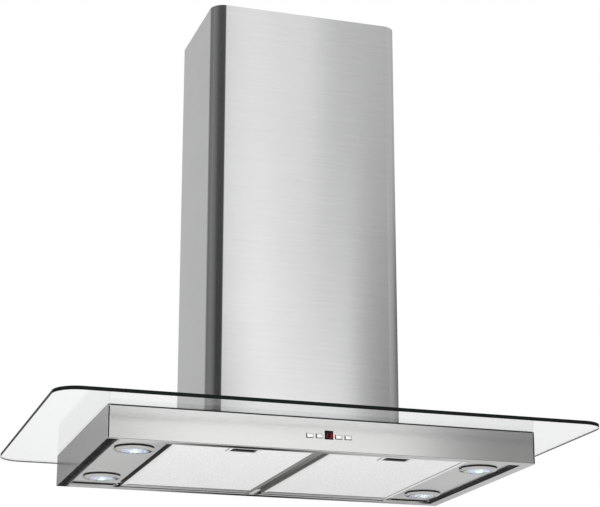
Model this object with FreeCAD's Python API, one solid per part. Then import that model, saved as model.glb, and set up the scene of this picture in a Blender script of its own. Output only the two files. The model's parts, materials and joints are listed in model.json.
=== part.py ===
import FreeCAD, Part
import math
import os

V = FreeCAD.Vector
X, Y, Z = V(1, 0, 0), V(0, 1, 0), V(0, 0, 1)

# Island range hood: a flat glass sheet on a shallow steel canopy, with a box chimney above it.
# Origin: centre of the canopy's underside. +X right, +Y away from the control panel, +Z up.
# All sizes in millimetres.

# Canopy
BODY_W, BODY_D, BODY_H = 712.0, 440.0, 53.0
SHEET = 1.0               # steel sheet of the canopy, covers and box
FLANGE_W = 18.0           # bottom flange all round
PANEL_LEVEL = 5.2         # height of the lamp panels above the flange
RAIL_H = 14.0             # upright lip along the filters
RIM_W = 14.0              # inward rim that carries the deck
SEAM = 1.4                # joint line beside the front fascia
FASCIA_T = 1.2
FASCIA_LIFT = 0.3         # joint line under the fascia
FASCIA_RETURN = 11.0
# Glass
GLASS_W, GLASS_D, GLASS_T = 900.0, 600.0, 6.0
GLASS_CORNER_R = 40.0
GASKET_T = 1.0
GASKET_W = 8.0
GASKET_INSET = 0.4
# Air passage through deck, glass and frame foot
PASSAGE_W, PASSAGE_D, PASSAGE_R = 244.0, 124.0, 10.0
GLASS_EDGE_CLEAR = 2.0    # glass cut stands back from the passage
FOOT_W, FOOT_D, FOOT_T = 322.0, 192.0, 3.0
GLASS_BOLT_X, GLASS_BOLT_Y = 142.0, 45.0
GLASS_BOLT_R = 4.0
GLASS_HOLE_R = 6.0
BOLT_CLEAR = 0.3
# Chimney covers
CHIMNEY_W, CHIMNEY_D, CHIMNEY_TOP = 340.0, 210.0, 805.0
CHIMNEY_R = 24.0          # rounded front corners
REAR_RETURN = 14.0        # turned edge at the open back of the lower cover
REAR_SCREW_SHARES = (0.06, 0.5, 0.94)   # screw heights as shares of the lower cover
SLIDE_GAP = 1.5           # between the lower and upper cover
CEILING_Z = 806.0
UPPER_COVER_L = 480.0
# Frame
EXTENSION = 300.0         # how far the hood can be set lower
ANGLE_LEG, ANGLE_T = 25.0, 2.0
CORNER_INSET = 8.0        # upper angles stand this far inside the upper cover
ANGLE_GAP = 0.5
LOWER_ANGLE_TOP = 480.0
UPPER_ANGLE_FOOT = 110.0
CLAMP_BOLT_R = 3.0
CLAMP_BOLT_INSET = 14.0
CLAMP_BOLT_DROP = 30.0    # below the top of the lower angle
CEILING_PLATE_T = 3.0
CEILING_PLATE_GAP = 2.0
DUCT_HOLE_R = 82.0
CEILING_SLOT_R, CEILING_SLOT_L = 4.0, 20.0
CEILING_SLOT_X, CEILING_SLOT_Y = 220.0, 120.0
# Blower
BOX_W, BOX_D, BOX_H = 252.0, 172.0, 236.0
CASING_W = 140.0
CASING_WALL = 2.0
FAN_RISE = 96.0           # fan axis above the frame foot
SCROLL_R0, SCROLL_R1 = 66.0, 80.0
SCROLL_START_DEG = 110.0  # where the spiral starts, from +Y towards +Z
SPIRAL_STEPS = 24
OUTLET_HALF = 70.0
THROAT_Z = 70.0           # height of the straight outlet wall above the fan axis
INLET_R = 52.0
IMPELLER_R, IMPELLER_IN_R, IMPELLER_W = 58.0, 48.0, 120.0
BLADES, BLADE_T, BLADE_LEAN_DEG = 32, 1.2, 32.0
END_RING_T = 1.6
HUB_R, HUB_L = 10.0, 16.0
SHAFT_R, SHAFT_FIT = 4.0, 0.05
MOTOR_R, MOTOR_L = 40.0, 60.0
MOTOR_GAP = 5.0           # motor face to impeller disc
BRACKET_T, BRACKET_W = 3.0, 8.0
# Outlet collar with its two check flaps
COLLAR_R, COLLAR_WALL, COLLAR_H = 74.5, 2.0, 55.0
COLLAR_BASE = 168.0
FLAP_AXIS_RISE = 25.0
FLAP_T = 1.5
SPINDLE_R, KNUCKLE_R = 2.0, 4.0
KNUCKLE_FIT = 0.1
FLAP_CLEAR = 1.5
STOP_W = 4.0
# Filters
FILTER_W, FILTER_T = 238.0, 11.0
FILTER_LEVEL = 2.0
BAR_HALF = 6.0
FILTER_GAP = 3.0          # filter to centre bar
SIDE_GAP = 6.0            # filter to lamp panel
FILTER_FRONT_GAP, FILTER_REAR_GAP = 6.0, 4.0
FRAME_T, FRAME_LIP, FRAME_REAR_LIP = 1.2, 7.0, 20.0
PIVOT_R, PIVOT_FIT, PIVOT_SETBACK, PIVOT_RISE = 2.0, 0.1, 8.0, 6.7
PIVOT_REACH = 2.0
MESH_T, MESH_FOLDS = 0.6, 18
PANEL_RETURN = 16.0
# Filter latch
LATCH_W, LATCH_D, LATCH_H = 40.0, 17.0, 8.5
LATCH_TRAVEL = 5.0
LATCH_CLEAR = 0.3
CUP_W, CUP_D, CUP_H = 32.0, 11.4, 6.8
TONGUE_W, TONGUE_T, TONGUE_CLEAR = 30.0, 3.0, 0.5
TONGUE_RISE = 2.7         # tongue above the latch's underside
HOUSING_RIM = 6.0
# Lamps
LAMP_INSET_X, LAMP_INSET_Y = 44.0, 74.0   # lamp centre to the side and front lips
RING_R, RING_T, RING_OPEN_R, RING_EDGE_R = 33.0, 5.0, 21.5, 0.8
LENS_R, LENS_T, LENS_FIT = 23.5, 2.4, 0.3
SLEEVE_R, SLEEVE_WALL, SLEEVE_H = 27.6, 1.2, 9.0
LAMP_HOLE_CLEAR = 0.6
NOTCH_W, NOTCH_D = 9.0, 3.0
CUP_WALL, CUP_DEPTH = 1.0, 32.0
LAMP_FLANGE_W = 5.0
REFLECTOR_R, REFLECTOR_TOP_R, REFLECTOR_H = 25.0, 8.0, 18.0
BULB_R, BULB_L, HOLDER_R, HOLDER_L = 4.5, 14.0, 8.0, 12.0
# Controls
CONTROL_PITCH = 16.0
BUTTON_W, BUTTON_H, BUTTON_Z = 11.0, 6.5, 24.0
BUTTON_PROUD, BUTTON_TRAVEL, BUTTON_FIT = 2.2, 1.0, 0.2
BUTTON_EDGE_R = 0.9
BUTTON_FLANGE, BUTTON_FLANGE_T, BUTTON_REST_GAP = 1.0, 1.5, 0.2
BUTTON_STEM = 4.0
DISPLAY_SIZE, DISPLAY_Z, DISPLAY_T = 14.0, 26.5, 3.0
DISPLAY_PROUD = 0.2
CARRIER_W, CARRIER_H, CARRIER_T = 90.0, 32.0, 10.8
BOARD_T = 1.6
SWITCH_SIZE, SWITCH_T, PLUNGER_R = 6.0, 3.5, 1.5
PLUNGER_GAP = 0.3
# Electrical pieces
EBOX_W, EBOX_H, EBOX_WALL = 83.0, 40.0, 2.0
EBOX_RIM_GAP, EBOX_LAMP_GAP = 1.0, 18.8
LEDGE_W, LEDGE_DROP = 3.0, 10.0
CAPACITOR_R, CAPACITOR_GAP = 13.0, 16.0
RELAY_W, RELAY_D, RELAY_H, RELAY_Y = 18.0, 12.0, 12.0, (-48.0, -30.0)
TERMINAL_W, TERMINAL_D, TERMINAL_H, TERMINAL_WAYS = 50.0, 18.0, 15.0, 5
TRAFO_W, TRAFO_D, TRAFO_H, TRAFO_LUG = 48.0, 56.0, 30.0, 9.0
GLAND_X, GLAND_R, GLAND_HEX_R, GLAND_HEX_H = -106.0, 8.0, 11.5, 8.0
GLAND_TAIL, GLAND_NUT_H, GLAND_DOME_H, GLAND_BORE_R = 10.0, 4.0, 12.0, 4.0
WIRE_R, WIRE_GAP = 2.5, 0.5
# Screws
SCREW_R, SCREW_HEAD_R, SCREW_HEAD_T, SCREW_L = 1.5, 3.0, 1.2, 6.0
HEX_HEAD_R, HEX_HEAD_T = 7.0, 5.0
WASHER_T = 1.5

# Levels and places that follow from the sizes above
HALF_W, HALF_D = BODY_W / 2, BODY_D / 2
FRONT = -HALF_D
LIP_X, LIP_Y = HALF_W - FLANGE_W, HALF_D - FLANGE_W
DECK_Z = BODY_H - SHEET
GLASS_Z = BODY_H + GASKET_T
GLASS_TOP = GLASS_Z + GLASS_T
FOOT_Z = GLASS_TOP + GASKET_T
BOX_Z = FOOT_Z + FOOT_T
BOX_TOP = BOX_Z + BOX_H
FAN_Z = BOX_Z + FAN_RISE
FLAP_Z = BOX_TOP + FLAP_AXIS_RISE
CHIMNEY_FRONT, CHIMNEY_REAR = -CHIMNEY_D / 2, CHIMNEY_D / 2
UPPER_HALF_W = CHIMNEY_W / 2 - SHEET - SLIDE_GAP
UPPER_FRONT = CHIMNEY_FRONT + SHEET + SLIDE_GAP
UPPER_REAR = CHIMNEY_REAR - 2 * SHEET - SLIDE_GAP
UPPER_R = CHIMNEY_R - SHEET - SLIDE_GAP
UPPER_ANGLE_X = UPPER_HALF_W - SHEET - CORNER_INSET
UPPER_ANGLE_Y = UPPER_REAR - SHEET - CORNER_INSET
LOWER_ANGLE_X = UPPER_ANGLE_X - ANGLE_T - ANGLE_GAP
LOWER_ANGLE_Y = UPPER_ANGLE_Y - ANGLE_T - ANGLE_GAP
CLAMP_Z = LOWER_ANGLE_TOP - CLAMP_BOLT_DROP
CLAMP_Y = LOWER_ANGLE_Y - CLAMP_BOLT_INSET
PLATE_Z = CEILING_Z - CEILING_PLATE_T
FILTER_IN = BAR_HALF + FILTER_GAP
FILTER_OUT = FILTER_IN + FILTER_W
FILTER_MID = (FILTER_IN + FILTER_OUT) / 2
FILTER_FRONT = -LIP_Y + FILTER_FRONT_GAP
FILTER_REAR = LIP_Y - FILTER_REAR_GAP
FILTER_TOP = FILTER_LEVEL + FILTER_T
PANEL_IN = FILTER_OUT + SIDE_GAP
PIVOT_Y = FILTER_REAR - PIVOT_SETBACK
PIVOT_Z = FILTER_LEVEL + PIVOT_RISE
LATCH_FRONT = FILTER_FRONT + FRAME_LIP + LATCH_CLEAR
LATCH_REAR = LATCH_FRONT + LATCH_D
LATCH_Z = FILTER_LEVEL + LATCH_CLEAR
TONGUE_Z = LATCH_Z + TONGUE_RISE
PANEL_TOP = PANEL_LEVEL + SHEET
LAMP_X, LAMP_Y = LIP_X - LAMP_INSET_X, LIP_Y - LAMP_INSET_Y
RING_Z = PANEL_LEVEL - RING_T
LENS_Z = RING_Z + SHEET
LENS_TOP = LENS_Z + LENS_T
SLEEVE_TOP = PANEL_LEVEL + SLEEVE_H
LAMP_CUP_R = SLEEVE_R + LAMP_HOLE_CLEAR + CUP_WALL
CARRIER_FRONT = FRONT + FASCIA_T
BOARD_FRONT = CARRIER_FRONT + CARRIER_T
FLANGE_FRONT = CARRIER_FRONT + BUTTON_REST_GAP
EBOX_X = -(HALF_W - RIM_W - EBOX_RIM_GAP - EBOX_W / 2)
EBOX_D = 2 * (LAMP_Y - LAMP_CUP_R - EBOX_LAMP_GAP)
CAPACITOR_L = EBOX_D / 2 - 2 * EBOX_WALL - CAPACITOR_GAP
WIRE_Z = DECK_Z - SHEET - WIRE_GAP - WIRE_R
COLLAR_SCREW = COLLAR_BASE / 2 - 2 * SCREW_HEAD_R
SIDES = (-1, 1)
QUADRANTS = [(sx, sy) for sx in SIDES for sy in SIDES]


# ---------------------------------------------------------------- basic solids
def box(x0, x1, y0, y1, z0, z1):
    """A block between two corners."""
    return Part.makeBox(x1 - x0, y1 - y0, z1 - z0, V(x0, y0, z0))


def block(cx, cy, w, d, z0, z1):
    """A block centred on a point in plan."""
    return box(cx - w / 2, cx + w / 2, cy - d / 2, cy + d / 2, z0, z1)


def rod(r, start, length, axis=Z):
    """A round bar that starts at a point."""
    return Part.makeCylinder(r, length, start, axis)


def pipe(r_out, r_in, start, length, axis=Z):
    """A round tube that starts at a point."""
    return rod(r_out, start, length, axis).cut(rod(r_in, start, length, axis))


def joined(shapes):
    """One solid from touching shapes."""
    first, rest = shapes[0], shapes[1:]
    return first.fuse(rest).removeSplitter() if rest else first


def grouped(shapes):
    """Separate solids kept in one node."""
    return Part.makeCompound(shapes)


def rounded_prism(half_w, half_d, r, z0, z1):
    """A rectangular prism with four rounded upright edges, centred in plan."""
    solid = box(-half_w, half_w, -half_d, half_d, z0, z1)
    uprights = [e for e in solid.Edges if abs(e.tangentAt(e.FirstParameter).z) > 0.5]
    return solid.makeFillet(r, uprights)


def chimney_prism(half_w, front, rear, r, z0, z1):
    """A prism whose two front upright edges are rounded."""
    solid = box(-half_w, half_w, front, rear, z0, z1)
    middle = (front + rear) / 2
    uprights = [e for e in solid.Edges
                if abs(e.tangentAt(e.FirstParameter).z) > 0.5 and e.CenterOfMass.y < middle]
    return solid.makeFillet(r, uprights)


def angle_bar(corner_x, corner_y, sx, sy, z0, z1):
    """An upright angle bar whose outer corner points away from the centre."""
    ends = sorted((corner_x * sx, (corner_x - ANGLE_LEG) * sx))
    web = sorted((corner_x * sx, (corner_x - ANGLE_T) * sx))
    side = sorted((corner_y * sy, (corner_y - ANGLE_LEG) * sy))
    face = sorted((corner_y * sy, (corner_y - ANGLE_T) * sy))
    return joined([box(*ends, *face, z0, z1), box(*web, *side, z0, z1)])


def pan_screw(x, y, z, up=1):
    """A small screw whose head seats at height z; its shank points up or down."""
    head_z = z - SCREW_HEAD_T if up > 0 else z
    shank_z = z if up > 0 else z - SCREW_L
    head = rod(SCREW_HEAD_R, V(x, y, head_z), SCREW_HEAD_T)
    return joined([head, rod(SCREW_R, V(x, y, shank_z), SCREW_L)])


def hexagon(r, start, length, axis=Z):
    """A six-sided bar; r is the distance to a corner."""
    across = V(0, 0, 1) if axis.isEqual(X, 0.1) else V(1, 0, 0)
    corners = []
    for i in range(7):
        turn = FreeCAD.Rotation(axis, 60 * i)
        corners.append(start + turn.multVec(across * r))
    return Part.Face(Part.makePolygon(corners)).extrude(axis * length)


# ---------------------------------------------------------------- canopy
def passage(z0, z1, grow=0.0):
    """The air passage through the deck, with an optional allowance."""
    return rounded_prism(PASSAGE_W / 2 + grow, PASSAGE_D / 2 + grow, PASSAGE_R, z0, z1)


def lip_slot(sx):
    """The slot in the front lip that takes a latch tongue."""
    mid = FILTER_MID * sx
    return block(mid, -LIP_Y - SHEET / 2, TONGUE_W + 2 * TONGUE_CLEAR, 2 * SHEET,
                 TONGUE_Z - TONGUE_CLEAR, TONGUE_Z + TONGUE_T + TONGUE_CLEAR)


def canopy_shell():
    """Side walls, rear wall, bottom flange with its lips, and the rim under the deck."""
    walls = box(-HALF_W, HALF_W, FRONT, HALF_D, 0, BODY_H)
    walls = walls.cut(box(-HALF_W + SHEET, HALF_W - SHEET, FRONT, HALF_D - SHEET, 0, BODY_H))
    flange = box(-HALF_W, HALF_W, FRONT, HALF_D, 0, SHEET)
    flange = flange.cut(box(-LIP_X, LIP_X, -LIP_Y, LIP_Y, 0, SHEET))
    lip = box(-LIP_X - SHEET, LIP_X + SHEET, -LIP_Y - SHEET, LIP_Y + SHEET, 0, PANEL_LEVEL)
    rails = box(-PANEL_IN, PANEL_IN, -LIP_Y - SHEET, LIP_Y + SHEET, 0, RAIL_H)
    lip = lip.fuse(rails).cut(box(-LIP_X, LIP_X, -LIP_Y, LIP_Y, 0, RAIL_H))
    inner_front = FRONT + FASCIA_T
    rim = box(-HALF_W, HALF_W, inner_front, HALF_D, DECK_Z - SHEET, DECK_Z)
    rim = rim.cut(box(-HALF_W + RIM_W, HALF_W - RIM_W, inner_front + RIM_W, HALF_D - RIM_W,
                      DECK_Z - SHEET, DECK_Z))
    shell = joined([walls, flange, lip, rim])
    for sx in SIDES:
        shell = shell.cut(lip_slot(sx))
    return shell


def control_places():
    """Button centres along the fascia, from left to right."""
    return [CONTROL_PITCH * i for i in (-2, -1, 1, 2)]


def front_fascia():
    """The front sheet with its turned edges and the openings for the controls."""
    half = HALF_W - SHEET - SEAM
    bottom = SHEET + FASCIA_LIFT
    face = box(-half, half, FRONT, FRONT + FASCIA_T, bottom, BODY_H)
    back = FRONT + FASCIA_T + FASCIA_RETURN
    low = box(-half, half, FRONT, back, bottom, bottom + FASCIA_T)
    high = box(-half, half, FRONT, back, DECK_Z - SHEET - FASCIA_T, DECK_Z - SHEET)
    fascia = joined([face, low, high])
    for x in control_places():
        w, h = BUTTON_W + 2 * BUTTON_FIT, BUTTON_H + 2 * BUTTON_FIT
        fascia = fascia.cut(box(x - w / 2, x + w / 2, FRONT, FRONT + FASCIA_T,
                                BUTTON_Z - h / 2, BUTTON_Z + h / 2))
    size = DISPLAY_SIZE / 2
    return fascia.cut(box(-size, size, FRONT, FRONT + FASCIA_T, DISPLAY_Z - size, DISPLAY_Z + size))


def bolt_holes(r, z0, z1):
    """Four holes for the bolts that clamp the glass."""
    return grouped([rod(r, V(GLASS_BOLT_X * sx, GLASS_BOLT_Y * sy, z0), z1 - z0)
                    for sx, sy in QUADRANTS])


def deck_plate():
    """The top sheet of the canopy, lying on the rim."""
    plate = box(-HALF_W + SHEET, HALF_W - SHEET, FRONT + FASCIA_T, HALF_D - SHEET, DECK_Z, BODY_H)
    plate = plate.cut(passage(DECK_Z, BODY_H))
    return plate.cut(bolt_holes(GLASS_BOLT_R + BOLT_CLEAR, DECK_Z, BODY_H))


def glass_gaskets():
    """Rubber strips under the glass and a pad between the glass and the frame foot."""
    out_x, out_y = HALF_W - GASKET_INSET, HALF_D - GASKET_INSET
    outer = box(-out_x, out_x, -out_y, out_y, BODY_H, GLASS_Z)
    outer = outer.cut(box(-out_x + GASKET_W, out_x - GASKET_W, -out_y + GASKET_W,
                          out_y - GASKET_W, BODY_H, GLASS_Z))
    rings = [outer]
    for z0 in (BODY_H, GLASS_TOP):
        ring = box(-FOOT_W / 2, FOOT_W / 2, -FOOT_D / 2, FOOT_D / 2, z0, z0 + GASKET_T)
        ring = ring.cut(passage(z0, z0 + GASKET_T, GLASS_EDGE_CLEAR))
        rings.append(ring.cut(bolt_holes(GLASS_HOLE_R, z0, z0 + GASKET_T)))
    return grouped(rings)


def glass_panel():
    """The flat glass with rounded corners, its passage cut-out and four bolt holes."""
    glass = rounded_prism(GLASS_W / 2, GLASS_D / 2, GLASS_CORNER_R, GLASS_Z, GLASS_TOP)
    glass = glass.cut(passage(GLASS_Z, GLASS_TOP, GLASS_EDGE_CLEAR))
    return glass.cut(bolt_holes(GLASS_HOLE_R, GLASS_Z, GLASS_TOP))


def glass_bolts():
    """Bolt, top washer and nut at each corner of the frame foot."""
    pieces = []
    nut_z = DECK_Z - HEX_HEAD_T
    head_z = BOX_Z + WASHER_T
    for sx, sy in QUADRANTS:
        x, y = GLASS_BOLT_X * sx, GLASS_BOLT_Y * sy
        shank = rod(GLASS_BOLT_R, V(x, y, nut_z), head_z - nut_z)
        head = hexagon(HEX_HEAD_R, V(x, y, head_z), HEX_HEAD_T)
        nut = hexagon(HEX_HEAD_R, V(x, y, nut_z), HEX_HEAD_T)
        washer = rod(2 * GLASS_BOLT_R, V(x, y, BOX_Z), WASHER_T)
        pieces.append(joined([shank, head, nut, washer]))
    return pieces


# ---------------------------------------------------------------- lamp panels and filters
def lamp_places():
    """Lamp name and centre; each name gives the lamp's corner as seen from the front."""
    names = {(-1, -1): "front_left", (1, -1): "front_right",
             (-1, 1): "rear_left", (1, 1): "rear_right"}
    return [(names[q], LAMP_X * q[0], LAMP_Y * q[1]) for q in sorted(names)]


def panel_screw_places(sx):
    """Screw centres at the corners of a lamp panel."""
    edge = SCREW_HEAD_R + SHEET
    return [(x * sx, (LIP_Y - edge) * sy) for x in (PANEL_IN + edge, LIP_X - edge) for sy in SIDES]


def lamp_panel(sx):
    """The sheet that carries two lamps, with a turned-up edge beside the filter."""
    xs = sorted((PANEL_IN * sx, (LIP_X + SHEET) * sx))
    sheet = box(*xs, -LIP_Y - SHEET, LIP_Y + SHEET, PANEL_LEVEL, PANEL_TOP)
    wall = sorted((PANEL_IN * sx, (PANEL_IN + SHEET) * sx))
    sheet = joined([sheet, box(*wall, -LIP_Y, LIP_Y, PANEL_LEVEL, PANEL_LEVEL + PANEL_RETURN)])
    rail = sorted((0, (PANEL_IN + SHEET / 2) * sx))
    corner = box(*rail, -HALF_D, HALF_D, PANEL_LEVEL, PANEL_TOP)
    sheet = sheet.cut(corner.cut(box(-HALF_W, HALF_W, -LIP_Y, LIP_Y, PANEL_LEVEL, PANEL_TOP)))
    for sy in SIDES:
        hole = V(LAMP_X * sx, LAMP_Y * sy, PANEL_LEVEL)
        sheet = sheet.cut(rod(SLEEVE_R + LAMP_HOLE_CLEAR, hole, SHEET))
    for x, y in panel_screw_places(sx):
        sheet = sheet.cut(rod(SCREW_R + BOLT_CLEAR, V(x, y, PANEL_LEVEL), SHEET))
    pivot = V((PANEL_IN if sx > 0 else -PANEL_IN - SHEET), PIVOT_Y, PIVOT_Z)
    return sheet.cut(rod(PIVOT_R + PIVOT_FIT, pivot, SHEET, X))


def centre_bar():
    """The channel between the two filters."""
    bar = box(-BAR_HALF, BAR_HALF, -LIP_Y, LIP_Y, PANEL_LEVEL, RAIL_H)
    bar = bar.cut(box(-BAR_HALF + SHEET, BAR_HALF - SHEET, -LIP_Y, LIP_Y, PANEL_TOP, RAIL_H))
    return bar.cut(rod(PIVOT_R + PIVOT_FIT, V(-BAR_HALF, PIVOT_Y, PIVOT_Z), 2 * BAR_HALF, X))


def latch_housing(mid):
    """The block in the filter's front rail that guides the latch."""
    return block(mid, (FILTER_FRONT + LATCH_REAR + LATCH_TRAVEL + HOUSING_RIM) / 2,
                 LATCH_W + 2 * HOUSING_RIM,
                 LATCH_REAR + LATCH_TRAVEL + HOUSING_RIM - FILTER_FRONT,
                 FILTER_LEVEL, FILTER_TOP)


def latch_pocket(mid):
    """The room that the latch slides in."""
    side = LATCH_W / 2 + LATCH_CLEAR
    return box(mid - side, mid + side, LATCH_FRONT - LATCH_CLEAR,
               LATCH_REAR + LATCH_TRAVEL + LATCH_CLEAR, FILTER_LEVEL,
               LATCH_Z + LATCH_H + LATCH_CLEAR)


def filter_frame(sx):
    """The channel frame of a filter with its latch housing and rear pivots."""
    xs = sorted((FILTER_IN * sx, FILTER_OUT * sx))
    frame = box(*xs, FILTER_FRONT, FILTER_REAR, FILTER_LEVEL, FILTER_TOP)
    window = box(xs[0] + FRAME_LIP, xs[1] - FRAME_LIP, FILTER_FRONT + FRAME_LIP,
                 FILTER_REAR - FRAME_REAR_LIP, FILTER_LEVEL, FILTER_TOP)
    frame = frame.cut(filter_core(sx)).cut(window)
    mid = FILTER_MID * sx
    housing = latch_housing(mid).cut(latch_pocket(mid))
    pins = rod(PIVOT_R, V(-BAR_HALF + SHEET if sx < 0 else BAR_HALF - SHEET, PIVOT_Y, PIVOT_Z),
               (FILTER_GAP + SHEET + FRAME_T), X * sx)
    outer = rod(PIVOT_R, V((FILTER_OUT - FRAME_T) * sx, PIVOT_Y, PIVOT_Z),
                FRAME_T + SIDE_GAP + SHEET + PIVOT_REACH, X * sx)
    reach = TONGUE_W / 2 + TONGUE_CLEAR
    slot = box(mid - reach, mid + reach, FILTER_FRONT, LATCH_FRONT,
               TONGUE_Z - TONGUE_CLEAR, TONGUE_Z + TONGUE_T + TONGUE_CLEAR)
    return joined([frame, housing, pins, outer]).cut(latch_pocket(mid)).cut(slot)


def filter_core(sx):
    """The space inside the frame that the mesh fills."""
    xs = sorted((FILTER_IN * sx, FILTER_OUT * sx))
    return box(xs[0] + FRAME_T, xs[1] - FRAME_T, FILTER_FRONT + FRAME_T, FILTER_REAR - FRAME_T,
               FILTER_LEVEL + SHEET, FILTER_TOP - SHEET)


def filter_mesh(sx):
    """The mesh pack between the lips of the frame: two flat sheets and a folded one."""
    core = filter_core(sx)
    room = core.BoundBox
    low, high = room.ZMin, room.ZMax
    ends = (room.XMin, room.XMax, room.YMin, room.YMax)
    sheets = [box(*ends, low, low + MESH_T), box(*ends, high - MESH_T, high)]
    steps = 2 * MESH_FOLDS
    reach = room.XLength / steps
    crest = [V(room.XMin + reach * i, room.YMin, (low, high - MESH_T)[i % 2])
             for i in range(steps + 1)]
    back = [point + V(0, 0, MESH_T) for point in reversed(crest)]
    folds = Part.Face(Part.makePolygon(crest + back + crest[:1])).extrude(Y * room.YLength)
    return joined(sheets + [folds]).cut(latch_housing(FILTER_MID * sx))


def filter_latch(sx):
    """The sliding finger cup with its tongue."""
    mid = FILTER_MID * sx
    half = LATCH_W / 2
    body = box(mid - half, mid + half, LATCH_FRONT, LATCH_REAR, LATCH_Z, LATCH_Z + LATCH_H)
    rim = (LATCH_D - CUP_D) / 2
    cup = box(mid - CUP_W / 2, mid + CUP_W / 2, LATCH_FRONT + rim, LATCH_REAR - rim,
              LATCH_Z, LATCH_Z + CUP_H)
    tip = -LIP_Y - SHEET - TONGUE_CLEAR
    tongue = box(mid - TONGUE_W / 2, mid + TONGUE_W / 2, tip, LATCH_FRONT,
                 TONGUE_Z, TONGUE_Z + TONGUE_T)
    return joined([body.cut(cup), tongue])


# ---------------------------------------------------------------- lamps
def lamp_ring(x, y):
    """The pull-off ring: a flat face, a seat for the lens, a sleeve and a prising notch."""
    face = rod(RING_R, V(x, y, RING_Z), RING_T)
    sleeve = rod(SLEEVE_R, V(x, y, PANEL_LEVEL), SLEEVE_H)
    ring = joined([face, sleeve])
    ring = ring.cut(rod(RING_OPEN_R, V(x, y, RING_Z), RING_T))
    seat = LENS_R + LENS_FIT
    ring = ring.cut(rod(seat, V(x, y, LENS_Z), SLEEVE_TOP - LENS_Z))
    bore = SLEEVE_R - SLEEVE_WALL
    ring = ring.cut(rod(bore, V(x, y, LENS_TOP), SLEEVE_TOP - LENS_TOP))
    notch_x = x - RING_R + NOTCH_D / 2 if x > 0 else x + RING_R - NOTCH_D / 2
    ring = ring.cut(block(notch_x, y, NOTCH_D, NOTCH_W, RING_Z + SHEET, PANEL_LEVEL))
    rim = [e for e in ring.Edges
           if e.BoundBox.ZMax < RING_Z + RING_EDGE_R and e.Length > math.tau * LENS_R]
    return ring.makeFillet(RING_EDGE_R, rim)


def lamp_lens(x, y):
    """The glass disc on the ring's seat."""
    return rod(LENS_R, V(x, y, LENS_Z), LENS_T)


def lamp_cup(x, y):
    """The metal cup above the panel that houses a lamp."""
    cup = rod(LAMP_CUP_R, V(x, y, PANEL_TOP), CUP_DEPTH)
    flange = rod(LAMP_CUP_R + LAMP_FLANGE_W, V(x, y, PANEL_TOP), SHEET)
    cup = joined([cup, flange])
    cup = cup.cut(rod(LAMP_CUP_R - CUP_WALL, V(x, y, PANEL_TOP), CUP_DEPTH - CUP_WALL))
    return cup.cut(rod(HOLDER_R, V(x, y, PANEL_TOP), CUP_DEPTH))


def lamp_reflector(x, y):
    """The dished reflector that hangs from the lamp holder."""
    top = PANEL_TOP + CUP_DEPTH - HOLDER_L
    low = top - REFLECTOR_H
    outer = Part.makeCone(REFLECTOR_R, REFLECTOR_TOP_R, REFLECTOR_H, V(x, y, low))
    inner = Part.makeCone(REFLECTOR_R - CUP_WALL, REFLECTOR_TOP_R - CUP_WALL, REFLECTOR_H,
                          V(x, y, low))
    return outer.cut(inner)


def lamp_bulb(x, y):
    """The capsule lamp and its holder."""
    top = PANEL_TOP + CUP_DEPTH
    holder = rod(HOLDER_R, V(x, y, top - HOLDER_L), HOLDER_L)
    capsule = rod(BULB_R, V(x, y, top - HOLDER_L - BULB_L), BULB_L)
    return joined([holder, capsule])


# ---------------------------------------------------------------- controls
def button(x):
    """A push button: its cap through the fascia, its retaining flange and its stem."""
    def slab(grow, y0, y1):
        w, h = BUTTON_W / 2 + grow, BUTTON_H / 2 + grow
        return box(x - w, x + w, y0, y1, BUTTON_Z - h, BUTTON_Z + h)
    cap = slab(0, FRONT - BUTTON_PROUD, FLANGE_FRONT)
    flange = slab(BUTTON_FLANGE, FLANGE_FRONT, FLANGE_FRONT + BUTTON_FLANGE_T)
    stem_end = BOARD_FRONT - SWITCH_T - SHEET - PLUNGER_GAP - BUTTON_TRAVEL
    stem_y = FLANGE_FRONT + BUTTON_FLANGE_T
    stem = rod(BUTTON_STEM / 2, V(x, stem_y, BUTTON_Z), stem_end - stem_y, Y)
    edges = [e for e in cap.Edges if e.BoundBox.YMax < FRONT - BUTTON_EDGE_R]
    return joined([cap.makeFillet(BUTTON_EDGE_R, edges), flange, stem])


def display_window():
    """The dark window in the fascia."""
    size = DISPLAY_SIZE / 2 - BUTTON_FIT / 2
    return box(-size, size, FRONT - DISPLAY_PROUD, FRONT - DISPLAY_PROUD + DISPLAY_T,
               DISPLAY_Z - size, DISPLAY_Z + size)


def display_module():
    """The two-digit display block between the window and the board."""
    size = DISPLAY_SIZE / 2 - BUTTON_FIT
    return box(-size, size, FRONT - DISPLAY_PROUD + DISPLAY_T, BOARD_FRONT,
               DISPLAY_Z - size, DISPLAY_Z + size)


def carrier_middle():
    """Height of the middle of the control carrier."""
    return (BUTTON_Z + DISPLAY_Z) / 2


def control_carrier():
    """The plastic frame behind the fascia that guides the buttons."""
    half, mid = CARRIER_W / 2, carrier_middle()
    frame = box(-half, half, CARRIER_FRONT, BOARD_FRONT, mid - CARRIER_H / 2, mid + CARRIER_H / 2)
    for x in control_places():
        w = BUTTON_W / 2 + BUTTON_FLANGE + BUTTON_FIT
        h = BUTTON_H / 2 + BUTTON_FLANGE + BUTTON_FIT
        frame = frame.cut(box(x - w, x + w, CARRIER_FRONT, BOARD_FRONT, BUTTON_Z - h, BUTTON_Z + h))
    size = DISPLAY_SIZE / 2
    return frame.cut(box(-size, size, CARRIER_FRONT, BOARD_FRONT, DISPLAY_Z - size,
                         DISPLAY_Z + size))


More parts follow.
